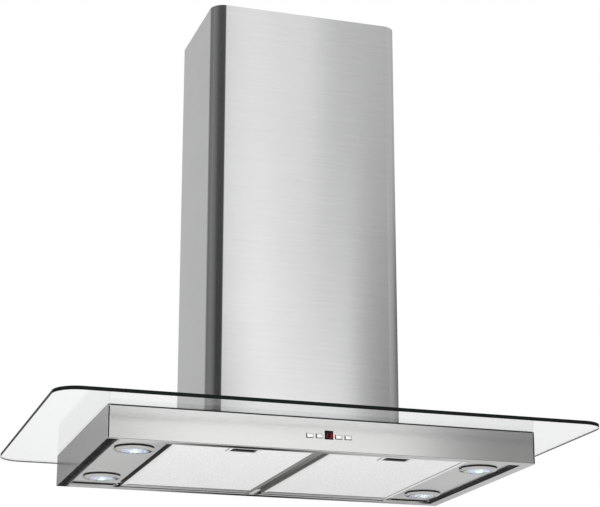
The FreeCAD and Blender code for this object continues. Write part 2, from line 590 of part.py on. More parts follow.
def control_board():
    """The board behind the carrier with a small switch behind each button."""
    half, mid = CARRIER_W / 2, carrier_middle()
    pieces = [box(-half, half, BOARD_FRONT, BOARD_FRONT + BOARD_T,
                  mid - CARRIER_H / 2, mid + CARRIER_H / 2)]
    s = SWITCH_SIZE / 2
    for x in control_places():
        pieces.append(box(x - s, x + s, BOARD_FRONT - SWITCH_T, BOARD_FRONT, BUTTON_Z - s,
                          BUTTON_Z + s))
        pieces.append(rod(PLUNGER_R, V(x, BOARD_FRONT - SWITCH_T - SHEET, BUTTON_Z), SHEET, Y))
    return joined(pieces)


# ---------------------------------------------------------------- electrical pieces
def ebox_inside(z0, z1, grow=0.0):
    """The inside of the electronics box, with an optional allowance."""
    return block(EBOX_X, 0, EBOX_W - 2 * EBOX_WALL + grow, EBOX_D - 2 * EBOX_WALL + grow, z0, z1)


def ebox_floor():
    """Height of the floor inside the electronics box."""
    return DECK_Z - EBOX_H + EBOX_WALL


def electronics_box():
    """The tray under the deck, with two ledges for the main board and a wire entry."""
    top = DECK_Z
    tray = block(EBOX_X, 0, EBOX_W, EBOX_D, top - EBOX_H, top).cut(ebox_inside(ebox_floor(), top))
    ledge_top = top - LEDGE_DROP
    ledge = ebox_inside(ledge_top - EBOX_WALL, ledge_top, EBOX_WALL)
    ledge = ledge.cut(block(EBOX_X, 0, EBOX_W - 2 * EBOX_WALL - 2 * LEDGE_W, EBOX_D,
                            ledge_top - EBOX_WALL, ledge_top))
    tray = joined([tray, ledge])
    entry = V(EBOX_X + EBOX_W / 2 - 2 * EBOX_WALL, 0, WIRE_Z)
    front = V(EBOX_X, -EBOX_D / 2 - EBOX_WALL, WIRE_Z)
    hole = WIRE_R + BOLT_CLEAR
    return tray.cut(rod(hole, entry, 4 * EBOX_WALL, X)).cut(rod(hole, front, 4 * EBOX_WALL, Y))


def main_board():
    """The control electronics' board, lying on the ledges."""
    z0 = DECK_Z - LEDGE_DROP
    board = ebox_inside(z0, z0 + BOARD_T, -2 * BUTTON_FIT)
    relays = [block(EBOX_X, y, RELAY_W, RELAY_D, z0 - RELAY_H, z0) for y in RELAY_Y]
    return joined([board] + relays)


def motor_capacitor():
    """The motor's run capacitor on the floor of the box."""
    return rod(CAPACITOR_R, V(EBOX_X, EBOX_WALL, ebox_floor() + CAPACITOR_R), CAPACITOR_L, Y)


def terminal_block():
    """The mains terminals on the floor of the box."""
    y = -EBOX_D / 2 + EBOX_WALL + TERMINAL_D
    terminal = block(EBOX_X, y, TERMINAL_W, TERMINAL_D, ebox_floor(), ebox_floor() + TERMINAL_H)
    pitch = TERMINAL_W / TERMINAL_WAYS
    first = EBOX_X - pitch * (TERMINAL_WAYS - 1) / 2
    wells = [rod(SCREW_R, V(first + pitch * i, y, ebox_floor() + TERMINAL_H / 2), TERMINAL_H)
             for i in range(TERMINAL_WAYS)]
    return terminal.cut(wells)


def lighting_transformer():
    """The lamp transformer under the deck at the right, with two fixing lugs."""
    x, top = -EBOX_X, DECK_Z
    core = block(x, 0, TRAFO_W, TRAFO_D, top - TRAFO_H, top)
    lugs = block(x, 0, TRAFO_W / 2, TRAFO_D + 2 * TRAFO_LUG, top - 2 * SHEET, top)
    return joined([core, lugs])


def cable_gland():
    """The mains cable's gland in the roof of the blower box, with its nut below."""
    low = BOX_TOP - GLAND_TAIL
    body = rod(GLAND_R, V(GLAND_X, 0, low), GLAND_TAIL)
    base = hexagon(GLAND_HEX_R, V(GLAND_X, 0, BOX_TOP), GLAND_HEX_H)
    dome = Part.makeCone(GLAND_HEX_R - SHEET, GLAND_R, GLAND_DOME_H,
                         V(GLAND_X, 0, BOX_TOP + GLAND_HEX_H))
    nut = hexagon(GLAND_HEX_R, V(GLAND_X, 0, BOX_TOP - SHEET - GLAND_NUT_H), GLAND_NUT_H)
    bore = rod(GLAND_BORE_R, V(GLAND_X, 0, low), GLAND_TAIL + GLAND_HEX_H + GLAND_DOME_H)
    return joined([body, base, dome, nut]).cut(bore)


def wire(points):
    """A round lead through points, with ball corners."""
    runs = [rod(WIRE_R, a, (b - a).Length, b - a) for a, b in zip(points, points[1:])]
    balls = [Part.makeSphere(WIRE_R, p) for p in points[1:-1]]
    return joined(runs + balls)


def wiring():
    """The lead from the gland to the electronics box, and the lead to the control board."""
    entry_x = EBOX_X + EBOX_W / 2 - EBOX_WALL - WIRE_R
    mains = [V(GLAND_X, 0, BOX_TOP - GLAND_TAIL), V(GLAND_X, 0, WIRE_Z), V(entry_x, 0, WIRE_Z)]
    start = V(EBOX_X, -EBOX_D / 2 + EBOX_WALL + WIRE_R, WIRE_Z)
    lead_y = BOARD_FRONT + BOARD_T + WIRE_R
    board_x = -CARRIER_W / 3
    control = [start, V(EBOX_X, lead_y, WIRE_Z), V(board_x, lead_y, WIRE_Z),
               V(board_x, lead_y, carrier_middle())]
    return grouped([wire(mains), wire(control)])


# ---------------------------------------------------------------- chimney and frame
def chimney_cover():
    """The lower cover: front and sides in one sheet, with turned edges at the back."""
    half = CHIMNEY_W / 2
    outer = chimney_prism(half, CHIMNEY_FRONT, CHIMNEY_REAR, CHIMNEY_R, GLASS_TOP, CHIMNEY_TOP)
    inner = chimney_prism(half - SHEET, CHIMNEY_FRONT + SHEET, CHIMNEY_REAR - SHEET,
                          CHIMNEY_R - SHEET, GLASS_TOP, CHIMNEY_TOP)
    gap = half - REAR_RETURN
    back = box(-gap, gap, CHIMNEY_REAR - SHEET, CHIMNEY_REAR, GLASS_TOP, CHIMNEY_TOP)
    return outer.cut(inner).cut(back).cut(rear_screw_holes(CHIMNEY_REAR - SHEET, SHEET))


def rear_screw_places():
    """Screw centres along both turned edges of the lower cover."""
    reach = CHIMNEY_TOP - GLASS_TOP
    x = CHIMNEY_W / 2 - REAR_RETURN / 2
    return [(x * sx, GLASS_TOP + reach * share) for sx in SIDES for share in REAR_SCREW_SHARES]


def rear_screw_holes(y0, depth):
    """Holes for the rear cover's screws."""
    r = SCREW_R + BOLT_CLEAR
    return grouped([rod(r, V(x, y0, z), depth, Y) for x, z in rear_screw_places()])


def chimney_rear_cover():
    """The flat sheet that closes the back, inside the turned edges."""
    half = CHIMNEY_W / 2 - SHEET - BOLT_CLEAR
    y0 = CHIMNEY_REAR - 2 * SHEET
    sheet = box(-half, half, y0, y0 + SHEET, GLASS_TOP, CHIMNEY_TOP)
    return sheet.cut(rear_screw_holes(y0, SHEET))


def rear_cover_screw(x, z):
    """A short screw through a turned edge into the rear cover."""
    head = rod(SCREW_HEAD_R, V(x, CHIMNEY_REAR, z), SCREW_HEAD_T, Y)
    return joined([head, rod(SCREW_R, V(x, CHIMNEY_REAR - 2 * SHEET, z), 2 * SHEET, Y)])


def upper_chimney_cover():
    """The upper cover, a closed box sheet that telescopes inside the lower one."""
    z0 = CEILING_Z - UPPER_COVER_L
    outer = chimney_prism(UPPER_HALF_W, UPPER_FRONT, UPPER_REAR, UPPER_R, z0, CEILING_Z)
    inner = chimney_prism(UPPER_HALF_W - SHEET, UPPER_FRONT + SHEET, UPPER_REAR - SHEET,
                          UPPER_R - SHEET, z0, CEILING_Z)
    return outer.cut(inner)


def frame_foot():
    """The lower frame: the foot ring on the glass with its four angles."""
    ring = box(-FOOT_W / 2, FOOT_W / 2, -FOOT_D / 2, FOOT_D / 2, FOOT_Z, BOX_Z)
    ring = ring.cut(passage(FOOT_Z, BOX_Z)).cut(bolt_holes(GLASS_BOLT_R + BOLT_CLEAR, FOOT_Z, BOX_Z))
    angles = [angle_bar(LOWER_ANGLE_X, LOWER_ANGLE_Y, sx, sy, BOX_Z, LOWER_ANGLE_TOP)
              for sx, sy in QUADRANTS]
    frame = joined([ring] + angles)
    hole = CLAMP_BOLT_R + BOLT_CLEAR
    for sy in SIDES:
        frame = frame.cut(rod(hole, V(-HALF_W, CLAMP_Y * sy, CLAMP_Z), BODY_W, X))
    return frame


def clamp_slot(sx, sy):
    """The long slot in an upper angle that a clamp bolt runs in."""
    r = CLAMP_BOLT_R + BOLT_CLEAR
    x0 = sorted(((UPPER_ANGLE_X - 2 * ANGLE_T) * sx, (UPPER_ANGLE_X + ANGLE_T) * sx))[0]
    low, y = CLAMP_Z - EXTENSION, CLAMP_Y * sy
    slot = box(x0, x0 + 3 * ANGLE_T, y - r, y + r, low, CLAMP_Z)
    ends = [rod(r, V(x0, y, z), 3 * ANGLE_T, X) for z in (low, CLAMP_Z)]
    return joined([slot] + ends)


def upper_uprights():
    """Four angles that hang from the ceiling plate, one node."""
    return grouped([angle_bar(UPPER_ANGLE_X, UPPER_ANGLE_Y, sx, sy, UPPER_ANGLE_FOOT, PLATE_Z)
                    .cut(clamp_slot(sx, sy)) for sx, sy in QUADRANTS])


def clamp_bolts():
    """The bolt and nut that clamp each pair of angles."""
    pieces = []
    outside = UPPER_ANGLE_X + ANGLE_GAP
    inside = LOWER_ANGLE_X - ANGLE_T
    r = CLAMP_BOLT_R + WASHER_T
    for sx, sy in QUADRANTS:
        y = CLAMP_Y * sy
        shank = rod(CLAMP_BOLT_R, V(inside * sx, y, CLAMP_Z), outside - inside, X * sx)
        head = rod(r, V(outside * sx, y, CLAMP_Z), CLAMP_BOLT_R, X * sx)
        nut = hexagon(r, V((inside - CLAMP_BOLT_R) * sx, y, CLAMP_Z), CLAMP_BOLT_R * sx, X)
        pieces.append(joined([shank, head, nut]))
    return pieces


def ceiling_plate():
    """The plate on the ceiling with its duct hole, four slots and side tabs."""
    half_w = UPPER_HALF_W - SHEET - CEILING_PLATE_GAP
    front, rear = UPPER_FRONT + SHEET + CEILING_PLATE_GAP, UPPER_REAR - SHEET - CEILING_PLATE_GAP
    plate = chimney_prism(half_w, front, rear, UPPER_R - SHEET, PLATE_Z, CEILING_Z)
    tab_h = ANGLE_LEG / 2
    tabs = []
    for sx in SIDES:
        xs = sorted(((half_w - CEILING_PLATE_T) * sx, (UPPER_HALF_W - SHEET) * sx))
        tabs.append(box(*xs, -tab_h, tab_h, PLATE_Z - ANGLE_LEG, CEILING_Z))
    plate = joined([plate] + tabs).cut(rod(DUCT_HOLE_R, V(0, 0, PLATE_Z), CEILING_PLATE_T))
    for sx, sy in QUADRANTS:
        plate = plate.cut(ceiling_slot(CEILING_SLOT_X / 2 * sx, CEILING_SLOT_Y / 2 * sy))
    return plate


def ceiling_slot(x, y):
    """A slot for a ceiling screw, long in X."""
    reach = CEILING_SLOT_L / 2 - CEILING_SLOT_R
    slot = block(x, y, 2 * reach, 2 * CEILING_SLOT_R, PLATE_Z, CEILING_Z)
    ends = [rod(CEILING_SLOT_R, V(x + reach * s, y, PLATE_Z), CEILING_PLATE_T) for s in SIDES]
    return joined([slot] + ends)


# ---------------------------------------------------------------- blower
def blower_box():
    """The sheet box on the frame foot that encloses the fan, open below."""
    w, d = BOX_W / 2, BOX_D / 2
    shell = box(-w, w, -d, d, BOX_Z, BOX_TOP)
    shell = shell.cut(box(-w + SHEET, w - SHEET, -d + SHEET, d - SHEET, BOX_Z, BOX_TOP - SHEET))
    reach = CASING_W / 2 - CASING_WALL
    outlet = OUTLET_HALF - CASING_WALL
    shell = shell.cut(box(-reach, reach, -outlet, outlet, BOX_TOP - SHEET, BOX_TOP))
    return shell.cut(rod(GLAND_R + BOLT_CLEAR, V(GLAND_X, 0, BOX_TOP - SHEET), SHEET))


def scroll_face(x, inset):
    """The scroll's outline across the fan axis: a growing spiral that opens upwards."""
    top = BOX_TOP - SHEET
    points = []
    for i in range(SPIRAL_STEPS + 1):
        share = i / SPIRAL_STEPS
        turn = math.radians(SCROLL_START_DEG + (360 - SCROLL_START_DEG) * share)
        r = SCROLL_R0 + (SCROLL_R1 - SCROLL_R0) * share - inset
        points.append(V(x, r * math.cos(turn), FAN_Z + r * math.sin(turn)))
    spiral = Part.BSplineCurve()
    spiral.interpolate(points)
    half = OUTLET_HALF - inset
    walls = [points[-1], V(x, SCROLL_R1 - inset, FAN_Z + THROAT_Z), V(x, half, top),
             V(x, -half, top), points[0]]
    lines = [Part.LineSegment(a, b).toShape() for a, b in zip(walls, walls[1:])]
    return Part.Face(Part.Wire([spiral.toShape()] + lines))


def blower_casing(sx):
    """Half of the plastic scroll casing, split at the middle of the fan."""
    half = CASING_W / 2
    outer = scroll_face(0, 0).extrude(X * half * sx)
    inner = scroll_face(0, CASING_WALL).extrude(X * (half - CASING_WALL) * sx)
    inlet = rod(INLET_R, V(0, 0, FAN_Z), half, X * sx)
    mouth = box(-half, half, -OUTLET_HALF + CASING_WALL, OUTLET_HALF - CASING_WALL,
                BOX_TOP - 2 * SHEET, BOX_TOP)
    keep = box(-half + CASING_WALL, half - CASING_WALL, -HALF_D, HALF_D, 0, CHIMNEY_TOP)
    return outer.cut(inner).cut(inlet).cut(mouth.common(keep))


def inlet_ring():
    """The bell mouth on the free inlet."""
    x = CASING_W / 2
    flange = pipe(INLET_R + BRACKET_W, INLET_R - CASING_WALL, V(x, 0, FAN_Z), CASING_WALL, X)
    lip = pipe(INLET_R - BOLT_CLEAR, INLET_R - CASING_WALL, V(x - BRACKET_W, 0, FAN_Z),
               BRACKET_W, X)
    ring = joined([flange, lip])
    edge = [e for e in ring.Edges
            if e.BoundBox.XMin > x + SHEET and e.Length < math.tau * INLET_R]
    return ring.makeFillet(SHEET, edge)


def motor():
    """The fan motor inside the left half of the impeller, with its bearing bore."""
    front = -MOTOR_GAP
    body = rod(MOTOR_R, V(front, 0, FAN_Z), MOTOR_L, -X)
    body = body.makeFillet(BRACKET_T, [e for e in body.Edges if e.Closed])
    boss_l = CASING_W / 2 - MOTOR_GAP - MOTOR_L
    boss = rod(HUB_R + BRACKET_T, V(front - MOTOR_L, 0, FAN_Z), boss_l, -X)
    bore = rod(SHAFT_R + SHAFT_FIT, V(front, 0, FAN_Z), MOTOR_L, -X)
    return joined([body, boss]).cut(bore)


def motor_bracket():
    """The three-armed bracket that holds the motor over the left inlet."""
    x = -CASING_W / 2
    ring = pipe(INLET_R + BRACKET_W, INLET_R, V(x, 0, FAN_Z), BRACKET_T, -X)
    hub = rod(HUB_R + BRACKET_W, V(x, 0, FAN_Z), BRACKET_T, -X)
    arms = []
    for i in range(3):
        arm = box(x - BRACKET_T, x, -BRACKET_W / 2, BRACKET_W / 2, HUB_R, INLET_R + SHEET)
        arm.rotate(V(0, 0, 0), X, 120 * i)
        arm.translate(V(0, 0, FAN_Z))
        arms.append(arm)
    return joined([ring, hub] + arms)


def motor_shaft():
    """The shaft from the motor's rear bearing to the impeller's hub."""
    back = MOTOR_GAP + MOTOR_L - BRACKET_T
    return rod(SHAFT_R, V(-back, 0, FAN_Z), back + HUB_L, X)


def impeller():
    """A double-width drum: centre disc, hub, blades and an end ring at each side."""
    half = IMPELLER_W / 2
    disc = rod(IMPELLER_R, V(-SHEET, 0, FAN_Z), 2 * SHEET, X)
    hub = rod(HUB_R, V(-SHEET, 0, FAN_Z), HUB_L, X)
    depth = IMPELLER_R - IMPELLER_IN_R
    pieces = [disc, hub]
    for i in range(BLADES):
        blade = box(-half, half, -BLADE_T / 2, BLADE_T / 2, -depth / 2, depth / 2)
        blade.rotate(V(0, 0, 0), X, BLADE_LEAN_DEG)
        blade.translate(V(0, 0, IMPELLER_R - depth / 2 - BLADE_T / 4))
        blade.rotate(V(0, 0, 0), X, 360 / BLADES * i)
        blade.translate(V(0, 0, FAN_Z))
        pieces.append(blade)
    for start in (-half, half - END_RING_T):
        pieces.append(pipe(IMPELLER_R, IMPELLER_IN_R, V(start, 0, FAN_Z), END_RING_T, X))
    return joined(pieces).cut(rod(SHAFT_R, V(-half, 0, FAN_Z), IMPELLER_W, X))


def outlet_collar():
    """The duct spigot on the blower box, with a stop ledge under the flaps."""
    base = COLLAR_BASE / 2
    plate = box(-base, base, -base, base, BOX_TOP, BOX_TOP + BRACKET_T)
    collar = joined([plate, rod(COLLAR_R, V(0, 0, BOX_TOP), COLLAR_H)])
    inner = COLLAR_R - COLLAR_WALL
    collar = collar.cut(rod(inner, V(0, 0, BOX_TOP), COLLAR_H))
    ledge_top = FLAP_Z - FLAP_T / 2 - BOLT_CLEAR
    ledge = pipe(inner + SHEET, inner - STOP_W, V(0, 0, ledge_top - FLAP_T), FLAP_T)
    collar = joined([collar, ledge])
    return collar.cut(rod(SPINDLE_R + SHAFT_FIT, V(-COLLAR_R, 0, FLAP_Z), 2 * COLLAR_R, X))


def flap_spindle():
    """The rod across the collar that both flaps swing on."""
    return rod(SPINDLE_R, V(-COLLAR_R, 0, FLAP_Z), 2 * COLLAR_R, X)


def knuckle_spans():
    """Stretches of the spindle that the front flap's knuckles take."""
    reach = COLLAR_R - COLLAR_WALL - 2 * KNUCKLE_R
    step = reach / 2
    return [(-reach + SHEET, -step - SHEET), (SHEET, step - SHEET)]


def check_flap(sy):
    """Half a disc with two knuckles round the spindle."""
    r = COLLAR_R - COLLAR_WALL - FLAP_CLEAR
    z0 = FLAP_Z - FLAP_T / 2
    disc = rod(r, V(0, 0, z0), FLAP_T)
    edge = KNUCKLE_R + FLAP_CLEAR
    flap = disc.cut(box(-r, r, -edge, r, z0, z0 + FLAP_T))
    pieces = [flap]
    for x0, x1 in knuckle_spans():
        pieces.append(rod(KNUCKLE_R, V(x0, 0, FLAP_Z), x1 - x0, X))
        pieces.append(box(x0, x1, -edge - FLAP_T, 0, z0, z0 + FLAP_T))
    flap = joined(pieces).cut(rod(SPINDLE_R + KNUCKLE_FIT, V(-r, 0, FLAP_Z), 2 * r, X))
    if sy > 0:
        flap.rotate(V(0, 0, 0), Z, 180)
    return flap


def screws():
    """All the small screws: lamp panels, outlet collar and rear cover."""
    panels = [pan_screw(x, y, PANEL_LEVEL) for sx in SIDES for x, y in panel_screw_places(sx)]
    collar = [pan_screw(COLLAR_SCREW * sx, COLLAR_SCREW * sy, BOX_TOP + BRACKET_T, -1)
              for sx, sy in QUADRANTS]
    return grouped(panels + collar + [rear_cover_screw(x, z) for x, z in rear_screw_places()])


# ---------------------------------------------------------------- assembly
def sided(name, maker):
    """The left and right copies of a piece."""
    return {f"{name}_left": maker(-1), f"{name}_right": maker(1)}


def with_screw_holes(shape):
    """The shape with holes for the collar's screws."""
    holes = [rod(SCREW_R, V(COLLAR_SCREW * sx, COLLAR_SCREW * sy, BOX_TOP - SCREW_L), 2 * SCREW_L)
             for sx, sy in QUADRANTS]
    return shape.cut(grouped(holes))


def assembly():
    """Every node of the hood, by name."""
    nodes = {
        "canopy_shell": canopy_shell(), "front_fascia": front_fascia(), "deck_plate": deck_plate(),
        "glass_gaskets": glass_gaskets(), "glass_panel": glass_panel(),
        "centre_bar": centre_bar(), "screws": screws(),
        "hex_bolts": grouped(glass_bolts() + clamp_bolts()),
        "display_window": display_window(), "display_module": display_module(),
        "control_carrier": control_carrier(), "control_board": control_board(),
        "electronics_box": electronics_box(), "main_board": main_board(),
        "motor_capacitor": motor_capacitor(), "terminal_block": terminal_block(),
        "lighting_transformer": lighting_transformer(), "cable_gland": cable_gland(),
        "wiring": wiring(), "chimney_cover": chimney_cover(),
        "chimney_rear_cover": chimney_rear_cover(),
        "upper_chimney_cover": upper_chimney_cover(), "lower_frame": frame_foot(),
        "upper_uprights": upper_uprights(), "ceiling_plate": ceiling_plate(),
        "blower_box": with_screw_holes(blower_box()),
        "inlet_ring": inlet_ring(), "motor": motor(), "motor_bracket": motor_bracket(),
        "motor_shaft": motor_shaft(), "impeller": impeller(),
        "outlet_collar": with_screw_holes(outlet_collar()), "flap_spindle": flap_spindle(),
        "check_flap_front": check_flap(-1), "check_flap_rear": check_flap(1),
    }
    for name, maker in (("lamp_panel", lamp_panel), ("filter_frame", filter_frame),
                        ("filter_mesh", filter_mesh), ("filter_latch", filter_latch),
                        ("blower_casing", blower_casing)):
        nodes.update(sided(name, maker))
    for name, x, y in lamp_places():
        nodes[f"lamp_ring_{name}"] = lamp_ring(x, y)
        nodes[f"lamp_lens_{name}"] = lamp_lens(x, y)
    for name, maker in (("lamp_cups", lamp_cup), ("lamp_reflectors", lamp_reflector),
                        ("lamp_bulbs", lamp_bulb)):
        nodes[name] = grouped([maker(x, y) for _, x, y in lamp_places()])
    for number, x in enumerate(control_places(), start=1):
        nodes[f"button_{number}"] = button(x)
    return nodes


os.makedirs("parts", exist_ok=True)
for node, shape in assembly().items():
    shape.exportStep(f"parts/{node}.step")
    print(node, len(shape.Solids), "valid" if shape.isValid() else "INVALID", round(shape.Volume))
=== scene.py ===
import bpy
import bmesh
import json
import math
import random
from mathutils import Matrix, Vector


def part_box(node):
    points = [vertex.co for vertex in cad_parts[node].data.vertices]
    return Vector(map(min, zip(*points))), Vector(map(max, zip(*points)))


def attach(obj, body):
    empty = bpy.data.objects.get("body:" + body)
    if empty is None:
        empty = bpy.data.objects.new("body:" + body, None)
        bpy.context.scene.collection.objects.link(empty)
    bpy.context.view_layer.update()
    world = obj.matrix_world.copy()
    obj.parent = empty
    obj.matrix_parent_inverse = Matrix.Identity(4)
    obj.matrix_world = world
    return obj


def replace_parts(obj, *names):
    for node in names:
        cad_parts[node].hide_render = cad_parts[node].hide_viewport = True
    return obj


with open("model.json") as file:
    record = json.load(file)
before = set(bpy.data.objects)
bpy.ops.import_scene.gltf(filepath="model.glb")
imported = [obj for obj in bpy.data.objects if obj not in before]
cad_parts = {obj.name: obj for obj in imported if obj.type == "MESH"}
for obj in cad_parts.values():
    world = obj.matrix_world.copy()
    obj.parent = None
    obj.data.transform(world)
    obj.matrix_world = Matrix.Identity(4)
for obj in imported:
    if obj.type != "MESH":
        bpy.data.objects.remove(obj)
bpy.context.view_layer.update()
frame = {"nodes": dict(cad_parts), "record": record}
SCENE = bpy.context.scene
LAMPS = ("front_left", "front_right", "rear_left", "rear_right")
BUTTONS = range(1, 5)
SIDES = ("left", "right")
NOISE_MIDDLE = (0.3, 0.7)
MM = 0.001
MERGE = 1e-6


# ------------------------------------------------------------------ node helpers
class Tree:
    """Short calls for building one node tree."""

    def __init__(self, tree):
        self.tree = tree
        self.tree.nodes.clear()

    def add(self, kind, **settings):
        node = self.tree.nodes.new(kind)
        for key, value in settings.items():
            setattr(node, key, value)
        return node

    def put(self, socket, value):
        if isinstance(value, bpy.types.NodeSocket):
            self.tree.links.new(value, socket)
        elif isinstance(value, (tuple, list)) and len(value) == 3 and socket.type == "RGBA":
            socket.default_value = (*value, 1.0)
        else:
            socket.default_value = value

    def math(self, op, a, b=0.0, clamp=False):
        node = self.add("ShaderNodeMath", operation=op, use_clamp=clamp)
        self.put(node.inputs[0], a)
        self.put(node.inputs[1], b)
        return node.outputs[0]

    def span(self, value, low, high, to_low=0.0, to_high=1.0):
        node = self.add("ShaderNodeMapRange", clamp=True)
        for socket, v in zip(node.inputs, (value, low, high, to_low, to_high)):
            self.put(socket, v)
        return node.outputs[0]

    def spread(self, value, to_low=0.0, to_high=1.0):
        """A noise's middle values, which hold nearly all of it, drawn out to a new range."""
        return self.span(value, *NOISE_MIDDLE, to_low, to_high)

    def step(self, value, low, high):
        node = self.add("ShaderNodeMapRange", clamp=True, interpolation_type="SMOOTHSTEP")
        for socket, v in zip(node.inputs, (value, low, high, 0.0, 1.0)):
            self.put(socket, v)
        return node.outputs[0]

    def mix(self, factor, a, b):
        node = self.add("ShaderNodeMix", data_type="RGBA")
        self.put(node.inputs["Factor"], factor)
        self.put(node.inputs[6], a)
        self.put(node.inputs[7], b)
        return node.outputs[2]

    def blend(self, factor, a, b):
        node = self.add("ShaderNodeMix", data_type="FLOAT")
        self.put(node.inputs["Factor"], factor)
        self.put(node.inputs[2], a)
        self.put(node.inputs[3], b)
        return node.outputs[0]

    def ramp(self, factor, stops):
        node = self.add("ShaderNodeValToRGB")
        places = node.color_ramp.elements
        while len(places) < len(stops):
            places.new(0.5)
        for place, (position, value) in zip(places, sorted(stops)):
            place.position = position
            place.color = (value, value, value, 1)
        self.put(node.inputs[0], factor)
        return node.outputs[0]

    def noise(self, vector, scale, detail=3.0, rough=0.5):
        node = self.add("ShaderNodeTexNoise")
        self.put(node.inputs["Vector"], vector)
        node.inputs["Scale"].default_value = scale
        node.inputs["Detail"].default_value = detail
        node.inputs["Roughness"].default_value = rough
        return node.outputs[0]

    def cells(self, vector, scale, feature="F1", output=0):
        node = self.add("ShaderNodeTexVoronoi", feature=feature)
        self.put(node.inputs["Vector"], vector)
        node.inputs["Scale"].default_value = scale
        return node.outputs[output]

    def stretch(self, vector, scale):
        node = self.add("ShaderNodeMapping")
        self.put(node.inputs["Vector"], vector)
        node.inputs["Scale"].default_value = scale
        return node.outputs[0]

    def scaled(self, vector, factor):
        node = self.add("ShaderNodeVectorMath", operation="SCALE")
        self.put(node.inputs[0], vector)
        self.put(node.inputs["Scale"], factor)
        return node.outputs[0]

    def bump(self, height, strength, distance):
        node = self.add("ShaderNodeBump")
        self.put(node.inputs["Height"], height)
        self.put(node.inputs["Strength"], strength)
        node.inputs["Distance"].default_value = distance
        return node.outputs[0]

    def parts(self, vector):
        node = self.add("ShaderNodeSeparateXYZ")
        self.put(node.inputs[0], vector)
        return node.outputs

    def vector(self, x, y, z):
        node = self.add("ShaderNodeCombineXYZ")
        for socket, value in zip(node.inputs, (x, y, z)):
            self.put(socket, value)
        return node.outputs[0]

    def place(self):
        return self.add("ShaderNodeTexCoord").outputs["Object"]

    def flatness(self):
        """1 where the surface faces straight up or down, 0 where it is upright."""
        normal = self.add("ShaderNodeNewGeometry").outputs["True Normal"]
        return self.math("ABSOLUTE", self.parts(normal)[2])


def material(name, **values):
    """A material with one Principled shader; returns the material, its tree and the shader."""
    made = bpy.data.materials.new(name)
    made.use_nodes = True
    tree = Tree(made.node_tree)
    shader = tree.add("ShaderNodeBsdfPrincipled")
    output = tree.add("ShaderNodeOutputMaterial")
    made.node_tree.links.new(shader.outputs[0], output.inputs["Surface"])
    for key, value in values.items():
        tree.put(shader.inputs[key.replace("_", " ")], value)
    return made, tree, shader


def times(values, share):
    """A colour or a scale with each of its parts times a share."""
    return tuple(value * share for value in values)


# ------------------------------------------------------------------ materials
def brushed(name, colour, grain, roughness=0.12, anisotropy=0.8, flat_depth=1.0, flat_roughness=None):
    """Brushed sheet. Grain runs along the axis named, or level round all upright faces."""
    made, t, shader = material(name, Metallic=1.0, Anisotropic=anisotropy)
    at = t.place()
    fine, long, broader = 2400.0, 18.0, 0.22
    scales = {"X": (long, fine, fine), "Y": (fine, long, fine), "level": (long, long, fine)}[grain]
    lines = t.noise(t.stretch(at, scales), 1.0, 4.0, 0.62)
    broad = t.noise(t.stretch(at, times(scales, broader)), 1.0, 2.0, 0.5)
    cloud = t.noise(at, 7.0, 3.0, 0.55)
    smear = t.noise(t.stretch(at, (3.0, 3.0, 9.0)), 1.6, 4.0, 0.6)
    shade = t.math("ADD", t.spread(lines, 0.965, 1.03), t.spread(broad, -0.012, 0.012))
    shade = t.math("MULTIPLY", shade, t.spread(cloud, 0.985, 1.015))
    tint = t.mix(t.span(smear, 0.35, 0.7), colour, times(colour, 0.985))
    t.put(shader.inputs["Base Color"], t.scaled(tint, shade))
    flat = t.math("GREATER_THAN", t.flatness(), 0.7)
    base = t.blend(flat, roughness, roughness if flat_roughness is None else flat_roughness)
    uneven = t.math("ADD", t.spread(lines, -0.012, 0.02), t.span(smear, 0.4, 0.75, 0.0, 0.012))
    uneven = t.math("MULTIPLY", uneven, t.blend(flat, 1.0, flat_depth))
    t.put(shader.inputs["Roughness"], t.math("ADD", base, uneven))
    depth = 0.05
    t.put(shader.inputs["Normal"], t.bump(lines, t.blend(flat, depth, depth * flat_depth), 0.00008))
    across_x, across_y = (flat, 0.0) if grain == "Y" else (0.0, flat)
    t.put(shader.inputs["Tangent"], t.vector(across_x, across_y, t.math("SUBTRACT", 1.0, flat)))
    return made


def zinc_sheet(name):
    """Zinc-coated sheet with its spangle."""
    made, t, shader = material(name, Metallic=1.0)
    at = t.place()
    flakes = t.cells(at, 95.0, output=1)
    tone = t.span(t.parts(flakes)[0], 0.0, 1.0, 0.0, 1.0)
    haze = t.noise(at, 14.0, 4.0, 0.6)
    t.put(shader.inputs["Base Color"], t.mix(tone, (0.46, 0.48, 0.49), (0.6, 0.62, 0.63)))
    t.put(shader.inputs["Roughness"], t.math("ADD", t.span(tone, 0, 1, 0.34, 0.48),
                                             t.span(haze, 0.35, 0.7, 0.0, 0.08)))
    t.put(shader.inputs["Normal"], t.bump(t.math("ADD", tone, haze), 0.08, 0.0002))
    return made


def sheet_glass(name):
    """Clear glass; its ground edge faces are painted near black as shade and let no light through."""
    made, t, shader = material(name, IOR=1.1)
    at = t.place()
    edge = t.math("LESS_THAN", t.flatness(), 0.6)
    smudge = t.noise(t.stretch(at, (2.0, 2.0, 1.0)), 5.0, 5.0, 0.6)
    speck = t.noise(at, 900.0, 2.0, 0.5)
    clear = t.mix(t.span(smudge, 0.35, 0.75), (0.985, 0.99, 0.988), (0.965, 0.975, 0.972))
    # Painted shade: the near-black colour of the glass's edge faces.
    ground = t.mix(t.spread(speck), (0.004, 0.006, 0.006), (0.012, 0.016, 0.015))
    t.put(shader.inputs["Base Color"], t.mix(edge, clear, ground))
    t.put(shader.inputs["Transmission Weight"], t.math("SUBTRACT", 1.0, edge))
    t.put(shader.inputs["Roughness"], t.math("MULTIPLY", edge, t.spread(speck, 0.22, 0.34)))
    return made


